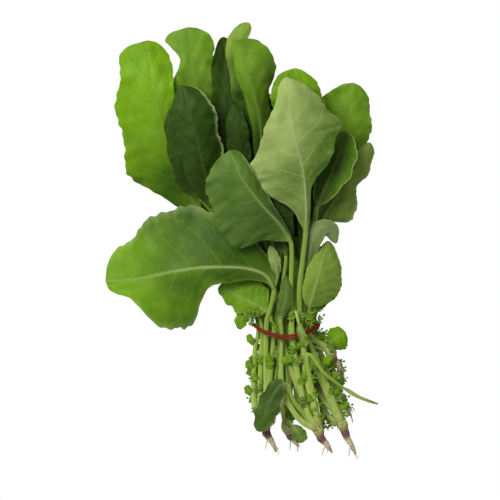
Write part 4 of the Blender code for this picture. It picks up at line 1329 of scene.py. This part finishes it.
# The plant whose great leaf reaches to the lower left.
LEFT_FRONT = Plant(
    name="left_front",
    crown=(-13, -57, 20),
    root=((-12, -63, 19), (-9, -68, 17), (-7, -72, 15.5), (-6, -75, 14)),
    leaves=(
        Leaf(
            stalk=(slot(4, -2.5), (-10, 14, 27), (-7, 27, 30)),
            rib=((-7, 27, 30), (-13, 36, 33), (-24, 40, 36), (-37, 41, 38), (-52, 40.5, 38),
                 (-70, 38, 36), (-90, 34, 31), (-112, 32, 25)),
            left=(2, 6, 9, 14, 34, 35, 14, 13), right=(2, 12, 27, 35, 40, 32, 25, 24),
            left_slope=(-0.1, -0.35, -0.2), right_slope=(0.0, -0.12, -0.15), wave=2.0, phase=0.6,
            tone=Tone.BROAD, pale_and_lit_rims=(0.3, 0.35), shade=(1.1, 0.85, -0.1, -0.2, 0.15), rib_pale=1.0,
        ),
        Leaf(
            stalk=(slot(4, -1.5), (-9, 7, 25), (-11, 13, 25)),
            rib=((-11, 13, 25), (-24, 20, 26), (-34, 25, 25), (-42, 28, 23)),
            left=(1.5, 7, 9, 9, 8, 6, 4), right=(1.5, 11, 15, 15, 13, 9, 5),
            left_slope=(-0.1, -0.3, -0.3), wave=1.0, tooth=0.12, phase=1.7,
            tone=Tone.BROAD, pale_and_lit_rims=(0.3, 0.0), shade=(0.3, 0.1, 0.0, 0.0, 0.0),
        ),
        Leaf(
            stalk=((-16, -41, 20), (-15.5, -20, 19), slot(3, -3), (-16.5, 10, 20), (-20, 16, 22)),
            rib=((-20, 16, 22), (-24, 14, 23), (-27.5, 8, 22), (-28.5, 2, 19)),
            left=(1.5, 3, 3.5, 3.8, 3.8, 3.2, 2.4), right=(1.5, 3, 3.5, 4.2, 4.2, 3.4, 2.4),
            wave=0.6, tooth=0.12, slim=True, tone=Tone.BRIGHT, shade=(0.5, 0.33, 0.0, 0.0, 0.0),
        ),
        Leaf(
            stalk=(slot(3, -2), (-8.5, 22, 26), (-5, 36, 33)),
            rib=((-5, 36, 33), (-7, 45, 36), (-10, 54, 37)),
            left=(1.3, 2.5, 3.2, 3.5, 3.2, 2.6, 2), wave=0.4, underside_up=True, slim=True,
            tone=Tone.PALE,
        ),
        Leaf(
            stalk=((-19.5, -45, 19), (-19.5, -14, 17.5), slot(2, -3.5), (-18.5, 10, 14.5),
                   (-22, 18, 15)),
            rib=((-22, 18, 15), (-27, 25, 16), (-31, 32, 16)),
            left=(1.3, 4, 5, 5, 4.5, 3.5, 2.5), wave=0.6, tooth=0.12, slim=True,
        ),
        bare_stalk(
            stalk=((-17, -44, 17), (-17, -28, 16.5)),
            rib=((-17, -28, 16.5), (-16.5, -21, 16.5), (-16, -14, 17)),
        ),
    ),
    lobes=(Lobe(2, 0.34, 130, 0.1, 8, 2.4), Lobe(4, 0.62, 122, 0.2, 9, 2.2),
           Lobe(0, 0.35, 60, 0.5, 8, 2.2), Lobe(1, 0.45, 105, 0.6, 9, 2.2),
           Lobe(4, 0.24, 125, 0.1, 9, 2.4), Lobe(4, 0.42, 118, 0.2, 9, 2.4)),
    rootlets=((0.25, 240), (0.6, 320)),
    scraps=(
        (
            (-15, -8, 15),
            Leaf(
                stalk=((-17, -13, 18),),
                rib=((-17, -13, 18), (-20, -20, 19), (-19, -30, 17)),
                left=(1, 2.5, 3, 2), right=(1, 4, 4.5, 2), tooth=0.2, slim=True,
                tone=Tone.BRIGHT, shade=(0.5, 0.47, 0.4, 0.0, 0.0),
            ),
        ),
    ),
    strands=((-8, -38, 12),),
    sprigs=((-18, -20, 16, 130, 5), (-18, -30, 14, 140, 5), (-17, -38, 14, 130, 5), (-18, 5, 22, 150, 9),
            (-17, 10, 24, 165, 9), (-15, 14, 26, 190, 8), (-6, -16, 29, 100, 6)),
)

# The plant of the pale leaf in front, with the dried stalk's end.
CENTRE_FRONT = Plant(
    name="centre_front",
    crown=(20, -60, 25),
    root=((22, -66, 24), (25, -69, 22.5), (27, -72, 21), (29, -75, 19)),
    leaves=(
        Leaf(
            stalk=((18, -48, 28), (13, -28, 28), (11.2, -12, 26.6), slot(4.7, 2), (8.6, 12, 27),
                   (8.5, 30, 34), (12, 62, 44)),
            rib=((12, 62, 44), (12, 80, 52), (9.5, 102, 58), (4, 121, 61), (1.5, 140, 60),
                 (0.5, 157, 56)),
            left=(2.2, 9, 28, 33, 18, 9, 7), right=(2.2, 2.5, 6, 24, 30, 20, 12),
            left_slope=(0.0, -0.3, -0.1), right_slope=(0.0, -0.12, -0.1),
            wave=1.4, phase=2.2, underside_up=True,
            tone=Tone.PALE, pale_and_lit_rims=(0.3, 0.0), shade=(0.9, 0.55, -0.1, 0.0, 0.7), rib_pale=0.8,
        ),
        Leaf(
            stalk=((14, -51, 28), (9, -34, 29), (5.5, -15, 28), slot(5, 0.8), (3.5, 12, 28), (3, 28, 35),
                   (3, 56, 43)),
            rib=((3, 56, 43), (-4, 67, 49), (-16, 80, 54), (-27, 95, 56), (-35, 112, 55)),
            left=(2, 13, 29, 30, 26, 21, 16), right=(2, 2.5, 4.5, 7, 8, 8, 8),
            left_slope=(-0.05, -0.22, -0.15), right_slope=(-0.3, -0.5, -0.3),
            wave=0.9, tooth=0.03, phase=0.3,
            tone=Tone.DEEP, pale_and_lit_rims=(0.0, 0.5), shade=(0.7, 0.53, 0.2, 0.0, 0.3), rib_pale=0.8,
        ),
        Leaf(
            stalk=((9, -54, 28), (1, -42, 29), (-2.5, -30, 29), (-2.8, -13, 28), slot(5, -0.5),
                   (-3, 9, 28.5)),
            rib=((-3, 9, 28.5), (-2, 15, 33), (0, 24, 36.5), (-0.5, 36, 38)),
            left=(1.5, 3, 4, 4.5, 4, 3, 2), wave=0.5, slim=True,
            tone=Tone.DEEP, shade=(0.3, 0.3, 0.3, 0.0, 0.5),
        ),
        Leaf(
            stalk=((6, -30, 26), slot(4, -0.5), (-2, 28, 29), (0, 48, 35)),
            rib=((0, 48, 35), (-3, 62, 40), (-6, 78, 43), (-8, 95, 45), (-8, 108, 46)),
            left=(1.5, 6, 9, 10, 9, 7, 4), wave=0.8, tone=Tone.SHADED,
        ),
        Leaf(
            stalk=((9, -30, 27), slot(4, 0.5), (4, 8, 27), (5, 14, 29)),
            rib=((5, 14, 29), (7, 24, 31), (9, 34, 31)),
            left=(1.3, 2.5, 3, 3, 3, 2.5, 2), wave=0.5, slim=True,
        ),
        Leaf(
            stalk=((5, -42, 32), (1, -31, 35)),
            rib=((1, -31, 35), (-5, -33, 36), (-10, -42, 35), (-14, -52, 33), (-17, -61, 30)),
            left=(1.3, 5, 7, 8, 8, 6.5, 4), right=(1.3, 5, 6, 6.5, 6, 5, 4),
            wave=0.9, tooth=0.1, phase=1.0,
            tone=Tone.DEEP, pale_and_lit_rims=(0.6, 0.0), shade=(0.8, 0.7, 0.5, 0.0, 0.0), rib_pale=0.3,
        ),
        Leaf(
            stalk=((13, -14, 34), (24, -25, 35), (36, -34, 34)),
            rib=((36, -34, 34), (44, -39, 32), (51, -42, 30), (57, -44, 29)),
            left=(1.1, 1.3, 1.2, 1.0, 0.9, 0.8, 0.7), wave=0.0, tooth=0.0, slim=True,
            tone=Tone.DRIED, shade=(0.0, 0.2, 1.0, 0.0, 0.0),
        ),
    ),
    lobes=(Lobe(1, 0.35, 130, 0.45, 9, 2.0), Lobe(1, 0.27, 50, 0.45, 8, 2.0),
           Lobe(2, 0.4, 150, 0.3, 9, 2.4), Lobe(2, 0.62, 60, 0.4, 8, 2.0),
           Lobe(0, 0.12, 120, 0.4, 9, 2.0), Lobe(0, 0.22, 150, 0.35, 8, 2.0)),
    rootlets=((0.23, 300), (0.5, 225)),
    scraps=(
        (
            (6, 14, 33),
            Leaf(
                stalk=((8, 6, 35.6),),
                rib=((8, 6, 35.6), (10, -1, 36.8), (12, -9, 34.5)),
                left=(1.2, 2, 2.8, 1.5), right=(1.2, 2.4, 2, 1.5), tooth=0.2, slim=True,
                tone=Tone.PALE, shade=(0.2, 0.0, 0.1, 0.0, 0.2),
            ),
        ),
    ),
    strands=((12, -40, 16), (24, -42, 12), (8, -48, 14), (23, -51, 12)),
    sprigs=((8, 4, 31, 80, 7), (12, 7, 31, 60, 8), (15, 3, 30, 75, 7), (5, 7, 31, 110, 7),
            (3, -14, 31, 80, 7), (6, -22, 30, 70, 9), (12, -32, 28, 75, 7), (22, -54, 18, 290, 8)),
)

# The plant of the rolled leaf at the right.
RIGHT_FRONT = Plant(
    name="right_front",
    crown=(35, -57, 20),
    root=((37, -62, 19), (39, -67, 17.5), (42, -72, 16), (44, -77, 14)),
    leaves=(
        Leaf(
            stalk=((22, -28, 22), slot(3, 1), (9, 30, 22), (13, 78, 29)),
            rib=((13, 78, 29), (12, 98, 33), (10, 120, 38), (7.5, 142, 43), (5, 163, 44)),
            left=(2, 7, 9, 11, 13, 17, 18), right=(2, 7, 11, 14, 16, 15, 10), wave=1.4, phase=1.2,
            tone=Tone.BRIGHT, shade=(0.9, 0.62, 0.1, 0.0, 0.0), rib_pale=0.3,
        ),
        Leaf(
            stalk=((23, -27, 19), slot(3, 2), (14, 30, 24), (17, 60, 31), (19, 78, 36)),
            rib=((19, 78, 36), (24, 90, 38), (30, 104, 40), (34, 116, 41), (36, 125, 41)),
            left=(2, 6, 8, 9, 9, 8, 6), right=(2, 6, 9, 11, 11, 9, 6),
            left_slope=(0.1, 0.35, 0.2), right_slope=(0.3, 0.9, 0.7), right_roll=(0.95, 1.0), wave=0.7,
            pale_and_lit_rims=(0.5, 0.8), shade=(1.0, 1.0, 0.6, 0.0, -0.6),
        ),
        Leaf(
            stalk=((24, -28, 24), (17, -11, 22.5), slot(4, 2.5), (13.5, 8, 26), (14.5, 15, 32)),
            rib=((14.5, 15, 32), (17, 25, 38), (20.5, 38, 39.5), (26, 57, 36.5)),
            left=(1.4, 6, 7.5, 8, 7, 5, 3), right=(1.4, 10, 15, 15, 13, 9, 5),
            left_slope=(-0.1, -0.15, -0.2), right_slope=(-0.1, -0.4, -0.3),
            wave=0.7, tooth=0.03, underside_up=True,
            tone=Tone.BRIGHT, shade=(0.5, 0.55, 0.65, -0.3, 0.25), rib_pale=0.7,
        ),
        Leaf(
            stalk=((23, -29, 22), (12.5, -12, 18), slot(2, 1.5), (11, 30, 18), (16, 66, 26)),
            rib=((16, 66, 26), (19, 84, 32), (22, 98, 35), (25, 108, 36)),
            left=(1.4, 3, 4, 5, 5, 4, 3), wave=0.5, slim=True, tone=Tone.SHADED, pale_and_lit_rims=(0.0, 0.8),
        ),
        Leaf(
            stalk=((23, -32, 21.5), (12, -12, 21), slot(4, 1.5), (12, 20, 24.5), (14, 42, 34)),
            rib=((14, 42, 34), (16, 55, 40), (21, 64, 43), (27, 64, 42), (31, 56, 38)),
            left=(1.4, 4, 5, 5.5, 5.5, 4.5, 3), right=(1.4, 4, 5, 5, 5, 4.5, 3),
            left_slope=(-0.1, -0.3, -0.2), wave=0.6, underside_up=True,
            tone=Tone.DEEP, pale_and_lit_rims=(0.7, 0.0), shade=(0.6, 0.49, 0.3, 0.0, 0.0),
        ),
        bare_stalk(
            stalk=((30.5, -47, 18), (24, -34, 17.5)),
            rib=((24, -34, 17.5), (20, -26, 17.5), (16.5, -18, 18)),
        ),
        bare_stalk(
            stalk=((26.5, -52, 15), (20, -36, 14.5)),
            rib=((20, -36, 14.5), (17, -28, 14.5), (14.5, -20, 15)),
        ),
    ),
    lobes=(Lobe(2, 0.1, 40, 0.2, 9, 2.2), Lobe(2, 0.22, 55, 0.25, 9, 2.4),
           Lobe(2, 0.34, 40, 0.2, 10, 2.4), Lobe(2, 0.46, 50, 0.35, 10, 2.4),
           Lobe(4, 0.3, 75, 0.35, 9, 2.2)),
    rootlets=((0.3, 300), (0.55, 250)),
    strands=((27, -42, 10), (22, -36, 12), (24, -51, 10), (23, -16, 12)),
    sprigs=((17, 9, 30, 100, 7), (18, 5, 24, 50, 7), (18, 13, 26, 40, 7), (24, -30, 27, 60, 7),
            (27, -40, 25, 70, 8), (30, -50, 14, 260, 9), (28, -52, 14, 285, 8), (34, -48, 12, 20, 7)),
)

# The plant behind those, with tips that curl over at the top.
CENTRE = Plant(
    name="centre",
    crown=(1, -60, 12),
    root=((3, -65, 11), (6, -69, 9), (8, -72, 7)),
    leaves=(
        Leaf(
            stalk=((-3, -28, 18), slot(3, -1), (-6, 30, 20), (-9, 60, 24), (-11, 80, 30)),
            rib=((-11, 80, 30), (-14, 108, 38), (-17, 134, 45), (-21.5, 152, 49), (-25.5, 166, 50),
                 (-33, 179, 50)),
            left=(2, 4, 5, 5, 6, 7, 4), right=(2, 5, 6, 7, 10, 19, 16),
            left_slope=(-0.5, -0.9, -0.8), right_slope=(-0.2, -0.55, -0.3), wave=1.0,
            tone=Tone.CURLED_AND_SHADED, shade=(1.1, 0.75, 0.0, -0.15, 0.1), rib_pale=0.8,
        ),
        Leaf(
            stalk=((2, -28, 18), slot(3, 0), (-1, 30, 20), (-4, 60, 23), (-6, 78, 27)),
            rib=((-6, 78, 26), (-8, 100, 28), (-11, 122, 31), (-14, 150, 32)),
            left=(2, 6, 8, 9, 9, 8, 6), wave=1.0, phase=0.8, tone=Tone.SHADED, rib_pale=0.2,
        ),
        Leaf(
            stalk=((-5, -28, 14), slot(2, -1.5), (-12, 30, 17), (-20, 60, 21), (-26, 84, 28)),
            rib=((-26, 84, 28), (-28, 105, 33), (-30, 123, 39), (-32, 141, 41)),
            left=(2, 5, 6, 7, 7, 6, 5), left_slope=(-0.2, -0.5, -0.5), wave=0.8,
            tone=Tone.SHADED, rib_pale=0.2,
        ),
        Leaf(
            stalk=((-1, -28, 13.5), slot(2, -0.5), (-6, 30, 15), (-15, 65, 18), (-26, 92, 23)),
            rib=((-26, 92, 23), (-31, 120, 28), (-36, 150, 33), (-39, 183, 36)),
            left=(2, 9, 11, 11, 10, 8, 6), right=(2, 6, 8, 9, 9, 9, 7), left_slope=(0.1, 0.2, 0.2),
            tone=Tone.SHADED, rib_pale=0.2,
        ),
        Leaf(
            stalk=((3, -28, 13.5), slot(2, 0.5), (-2, 30, 15), (-8, 65, 17.6), (-15.5, 94, 22.5)),
            rib=((-15.5, 94, 22.5), (-21, 125, 30), (-27, 155, 38), (-31, 177, 43), (-23, 191, 43)),
            left=(2, 6, 8, 8, 7, 6, 8), right=(2, 6, 8, 8, 6, 5, 7), wave=1.0, underside_up=True,
            tone=Tone.CURLED_AND_SHADED, shade=(1.3, 1.1, -0.3, 0.0, 0.0), rib_pale=0.3,
        ),
        Leaf(
            stalk=((2, -28, 10), slot(1, 0), (2, 30, 11), (3, 60, 14), (2, 80, 17)),
            rib=((2, 80, 17), (2, 105, 20), (0, 130, 22), (-2, 153, 22)),
            left=(2, 8, 12, 14, 14, 12, 9), wave=1.4, phase=1.5, tone=Tone.SHADED,
        ),
        Leaf(
            stalk=((2, -55, 16), (4, -58, 19)),
            rib=((4, -58, 19), (6.5, -61, 20), (9, -65, 19), (10, -69, 17)),
            left=(1.2, 3, 4, 4.5, 4.5, 4, 3), right=(1.2, 3, 4, 5, 5, 4, 3), wave=0.5, slim=True,
            tone=Tone.PALE, shade=(0.3, 0.1, 0.0, 0.0, 0.4),
        ),
    ),
    rootlets=((0.2, 250), (0.5, 300)),
    # These two scraps are dark leaves set in behind the stalks: painted shade that fills the gaps there.
    scraps=(
        (
            (4, 4, 18),
            Leaf(
                stalk=((5, 35, 13),),
                rib=((5, 35, 13), (6, 58, 12), (8, 82, 12)),
                left=(1.5, 7, 9, 7, 4), right=(1.5, 6, 8, 7, 4), tone=Tone.SHADED,
            ),
        ),
        (
            (-8, 4, 16),
            Leaf(
                stalk=((-12, 30, 11),),
                rib=((-12, 30, 11), (-16, 48, 10), (-22, 68, 10)),
                left=(1.5, 5, 7, 7, 4), tone=Tone.SHADED,
            ),
        ),
    ),
    strands=((7, -40, 8), (-4, -38, 8)),
    sprigs=((2, -52, 16, 100, 7), (5, -50, 14, 60, 8), (9, -48, 13, 80, 8)),
)

# The small plant right of the band.
RIGHT_SIDE = Plant(
    name="right_side",
    crown=(28, -12, 17),
    root=((30, -17, 16), (32.5, -20, 15), (34, -25, 13.5)),
    leaves=(
        Leaf(
            stalk=((19, -5, 18), slot(3, 3), (16.5, 10, 20), (19, 15, 21)),
            rib=((19, 15, 21), (23, 22, 23), (25, 30, 23)),
            left=(1.4, 3.5, 4.5, 5, 4.5, 4, 3), wave=0.5, slim=True,
        ),
        Leaf(
            stalk=((21.5, -5, 15), slot(2, 3.5), (18.5, 11, 14.5), (22, 18, 15)),
            rib=((22, 18, 15), (26, 27, 16), (28, 37, 16)),
            left=(1.4, 3.5, 4.5, 5, 4.5, 4, 3), wave=0.5, slim=True,
        ),
        Leaf(
            stalk=((29, -10, 23), (27, -6, 29)),
            rib=((27, -6, 29), (29.5, -4, 32), (32.5, -1.5, 33), (36.5, 1, 32)),
            left=(1.1, 4, 6, 6.5, 6, 5, 4), right=(1.1, 6, 8.5, 9, 8.5, 7, 5),
            left_slope=(0.1, 0.2, 0.1), right_slope=(0.0, -0.2, -0.2), wave=0.5,
            tone=Tone.BRIGHT, shade=(0.5, 0.1, 0.0, 0.0, 0.6),
        ),
    ),
    lobes=(Lobe(1, 0.45, -20, 0.1, 7, 2.4),),
    rootlets=((0.2, 240), (0.5, 320)),
    sprigs=((24, -6, 24, 40, 7), (26, -14, 22, 300, 6), (24, -18, 20, 330, 7)),
)

# The plant of the large upper left leaf. Its lowest leaf rests on the surface.
LEFT_BACK = Plant(
    name="left_back",
    crown=(-16, -47, 8),
    root=((-16.5, -53, 7), (-16, -58, 5.5), (-14, -63, 4)),
    leaves=(
        Leaf(
            stalk=(slot(1, -3), (-24, 30, 13), (-40, 56, 18), (-52, 72, 21)),
            rib=((-52, 72, 21), (-61, 88, 25), (-69, 108, 31), (-77, 130, 35), (-83, 156, 36),
                 (-86, 181, 33)),
            left=(2, 14, 29, 26.5, 26.5, 18.5, 32), right=(2, 6, 6, 8, 11, 15, 14),
            left_slope=(-0.2, -0.3, -0.2), wave=1.6, tooth_count=2.8, phase=0.6,
            tone=Tone.BRIGHT, shade=(1.5, 0.35, 0.1, 0.0, 0.1), rib_pale=0.2,
        ),
        Leaf(
            stalk=(slot(1, -2), (-20, 35, 12), (-37, 64, 17), (-48, 86, 20)),
            rib=((-48, 86, 20), (-51, 110, 24), (-54, 135, 29), (-57, 160, 33), (-61, 189, 34)),
            left=(2, 8, 12, 13, 14, 8, 28), right=(2, 8, 11, 12, 12, 14, 20), phase=2.0,
            shade=(1.3, 0.75, -0.4, -0.1, 0.25), rib_pale=0.2,
        ),
        Leaf(
            stalk=(slot(2, -2.5), (-20, 30, 17), (-33, 56, 22), (-44, 77, 28)),
            rib=((-44, 77, 28), (-49, 95, 38), (-54, 115, 45), (-59, 134, 48), (-64, 152, 47)),
            left=(2, 9, 12, 13, 13, 11, 8), right=(2, 9, 13, 14, 15, 15, 12),
            left_slope=(-0.3, -0.6, -0.4), right_slope=(-0.2, -0.5, -0.3), wave=0.9,
            tone=Tone.SHADED, pale_and_lit_rims=(0.0, 1.0), shade=(0.8, 0.49, -0.1, -0.1, 0.0), rib_pale=0.3,
        ),
        Leaf(
            stalk=(slot(1, -1), (-14, 32, 12), (-34, 62, 16), (-53, 84, 24)),
            rib=((-53, 84, 24), (-60, 100, 31), (-66, 119, 37), (-70, 140, 39)),
            left=(2, 9, 10, 9, 8, 7, 5), right=(2, 8, 9, 9, 8, 7, 5), left_slope=(-0.2, -0.4, -0.3),
            wave=0.8, tone=Tone.SHADED, shade=(0.5, 0.33, 0.0, 0.0, 0.0), rib_pale=0.2,
        ),
        Leaf(
            stalk=(slot(0, -1.5), (-13, 25, 6), (-20, 48, 7)),
            rib=((-20, 48, 7), (-36, 72, 4), (-52, 98, 1.2), (-63, 125, 0.35), (-70, 150, 4)),
            left=(2, 11, 17, 20, 20, 17, 12), right=(2, 10, 15, 18, 19, 17, 12),
            left_slope=(0.0, 0.12, 0.15), right_slope=(0.0, 0.1, 0.1), shade=(0.5, 0.3, 0.2, 0.0, 0.0),
        ),
        Leaf(
            stalk=(slot(0, -0.5), (-3, 25, 6.5), (-5, 48, 8)),
            rib=((-5, 48, 8), (-13, 75, 9), (-20, 102, 9), (-24, 130, 10), (-26, 156, 12)),
            left=(2, 10, 16, 18, 18, 15, 10), right=(2, 8, 13, 16, 16, 14, 10),
            left_slope=(0.0, 0.1, 0.1), right_slope=(0.0, -0.15, -0.1), phase=1.1,
            shade=(0.6, 0.5, 0.4, 0.0, 0.0),
        ),
    ),
    lobes=(Lobe(0, 0.25, 130, 0.1, 9, 2.2), Lobe(0, 0.12, 120, 0.2, 9, 2.2)),
    rootlets=((0.27, 240), (0.64, 310)),
    strands=((-12, -28, 7), (-2, -30, 6)),
    sprigs=((-17, -26, 12, 175, 7), (-17, -44, 9, 160, 6)),
)

# The plant of the lower right leaf. Its lowest leaf rests on the surface.
RIGHT_BACK = Plant(
    name="right_back",
    crown=(33, -40, 8),
    root=((36, -44, 7), (39, -48, 6), (41, -53, 4)),
    leaves=(
        Leaf(
            stalk=(slot(1, 2), (13, 30, 12), (18, 58, 16), (22, 77, 19)),
            rib=((22, 77, 19), (29, 95, 22), (35, 115, 25), (39, 135, 28), (42, 155, 29)),
            left=(2, 8, 15, 20, 23, 21, 13), right=(2, 6, 11, 15, 15, 13, 11),
            left_slope=(0.0, -0.05, 0.05), right_slope=(0.0, -0.2, -0.3), wave=1.6, phase=0.9,
            shade=(0.8, 0.2, -0.1, 0.0, 0.1), rib_pale=0.3,
        ),
        Leaf(
            stalk=(slot(2, 2.5), (15, 30, 17), (17, 62, 22)),
            rib=((17, 62, 22), (27, 78, 25), (38, 95, 29), (46, 107, 31), (52, 118, 31)),
            left=(2, 5, 8, 8, 7, 5, 4), right=(2, 5, 18, 10, 8, 8, 6),
            left_slope=(0.0, 0.1, 0.1), right_slope=(-0.1, -0.5, -0.5), tooth=0.14, underside_up=True,
            pale_and_lit_rims=(0.4, 1.0), shade=(1.0, 0.3, -0.1, -0.2, -0.2),
        ),
        Leaf(
            stalk=(slot(0, 1.5), (9, 28, 6), (12, 52, 7)),
            rib=((12, 52, 7), (20, 78, 4), (26, 104, 1), (29, 126, 0.35), (28, 146, 4)),
            left=(2, 8, 13, 15, 15, 13, 9), right=(2, 9, 14, 16, 16, 14, 10),
            left_slope=(0.0, 0.1, 0.1), right_slope=(0.0, 0.12, 0.15), wave=1.0,
            shade=(0.5, 0.3, 0.2, 0.0, 0.0),
        ),
        Leaf(
            stalk=(slot(1, 1), (7, 30, 10), (9, 56, 13), (9, 78, 14)),
            rib=((9, 78, 14), (12, 98, 13), (13, 118, 12), (12, 138, 13)),
            left=(2, 6, 9, 10, 10, 9, 6), wave=0.8, tone=Tone.DEEP,
        ),
    ),
    lobes=(Lobe(1, 0.06, 35, 0.2, 9, 2.2), Lobe(1, 0.14, 45, 0.2, 9, 2.2)),
    rootlets=((0.25, 340), (0.5, 20), (0.75, 300)),
    strands=((35, -24, 9), (29, -26, 8), (31, -33, 8)),
    sprigs=((32, -20, 13, 20, 5), (33, -26, 12, 40, 5), (34, -32, 11, 30, 5), (34, -38, 10, 60, 5),
            (35, -44, 9, 30, 5), (30, -28, 12, 40, 7)),
)

PLANTS = (LEFT_FRONT, CENTRE_FRONT, RIGHT_FRONT, CENTRE, RIGHT_SIDE, LEFT_BACK, RIGHT_BACK)


@dataclass
class Studio:
    """A white light-table floor, soft white surroundings, a soft key light and the camera straight above."""

    view_width: float = 310.0
    view_x: float = -22.3
    view_y: float = 51.5
    camera_height: float = 1500.0
    focus_height: float = 30.0
    floor_size: float = 6000.0
    floor_white: float = 0.7
    surround: float = 0.36
    key_power: float = 17.0
    key_size: float = 700.0
    key_place: Point = (-550.0, 550.0, 1100.0)
    key_aim: Point = (-20.0, 50.0, 20.0)
    floor_gap: float = 0.2

    def build(self) -> None:
        """Builds the floor, the lights and the camera."""
        self._build_floor()
        self._build_lights()
        self._build_camera()
        LOG.info("studio: floor, two lights and camera")

    def _build_floor(self) -> None:
        """A plain white floor that glows pure white to the camera alone, and is a matt white to all other
        light.
        """
        half, z = self.floor_size / 2 * MM, -self.floor_gap * MM
        mesh = bpy.data.meshes.new("floor")
        corners = [(-half, -half, z), (half, -half, z), (half, half, z), (-half, half, z)]
        mesh.from_pydata(corners, [], [(0, 1, 2, 3)])
        floor = bpy.data.objects.new("floor", mesh)
        bpy.context.scene.collection.objects.link(floor)
        material, tree = new_material("opal_acrylic_floor")
        matt = add_node(tree, "ShaderNodeBsdfDiffuse", Color=(self.floor_white,) * 3 + (1.0,))
        glow = add_node(tree, "ShaderNodeEmission", Color="#ffffff", Strength=1.0)
        is_seen = add_node(tree, "ShaderNodeLightPath").outputs["Is Camera Ray"]
        both = add_node(tree, "ShaderNodeMixShader", n0=is_seen, n1=matt.outputs[0], n2=glow.outputs[0])
        add_node(tree, "ShaderNodeOutputMaterial", Surface=both.outputs[0])
        mesh.materials.append(material)

    def _build_lights(self) -> None:
        """White surroundings, and one soft key light from the upper left of the view."""
        world = bpy.data.worlds.new("white_surround")
        bpy.context.scene.world = world
        world.use_nodes = True
        world.node_tree.nodes.clear()
        back = add_node(world.node_tree, "ShaderNodeBackground", Color="#ffffff", Strength=self.surround)
        add_node(world.node_tree, "ShaderNodeOutputWorld", Surface=back.outputs[0])
        data = bpy.data.lights.new("key", "AREA")
        data.shape = "SQUARE"
        data.size = self.key_size * MM
        data.energy = self.key_power
        key = bpy.data.objects.new("key", data)
        key.location = Vector(self.key_place) * MM
        aim = Vector(self.key_aim) * MM - key.location
        key.rotation_euler = aim.to_track_quat("-Z", "Y").to_euler()
        bpy.context.scene.collection.objects.link(key)

    def _build_camera(self) -> None:
        """A long lens straight above the bunch."""
        data = bpy.data.cameras.new("camera")
        data.sensor_width = 36.0
        data.lens = data.sensor_width * (self.camera_height - self.focus_height) / self.view_width
        data.clip_end = 20.0
        camera = bpy.data.objects.new("camera", data)
        camera.location = (self.view_x * MM, self.view_y * MM, self.camera_height * MM)
        bpy.context.scene.collection.objects.link(camera)
        bpy.context.scene.camera = camera
        bpy.context.scene.view_settings.view_transform = "Standard"


def main() -> None:
    """Builds the bunch and its studio, and logs each plant's leaf count and the band's rings."""
    logging.basicConfig(level=logging.INFO, format="%(name)s: %(message)s")
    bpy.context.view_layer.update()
    finishes = Finishes.make()
    for plant in PLANTS:
        plant.build(finishes)
    RubberBand().build(finishes)
    Studio().build()


if __name__ == "__main__":
    main()
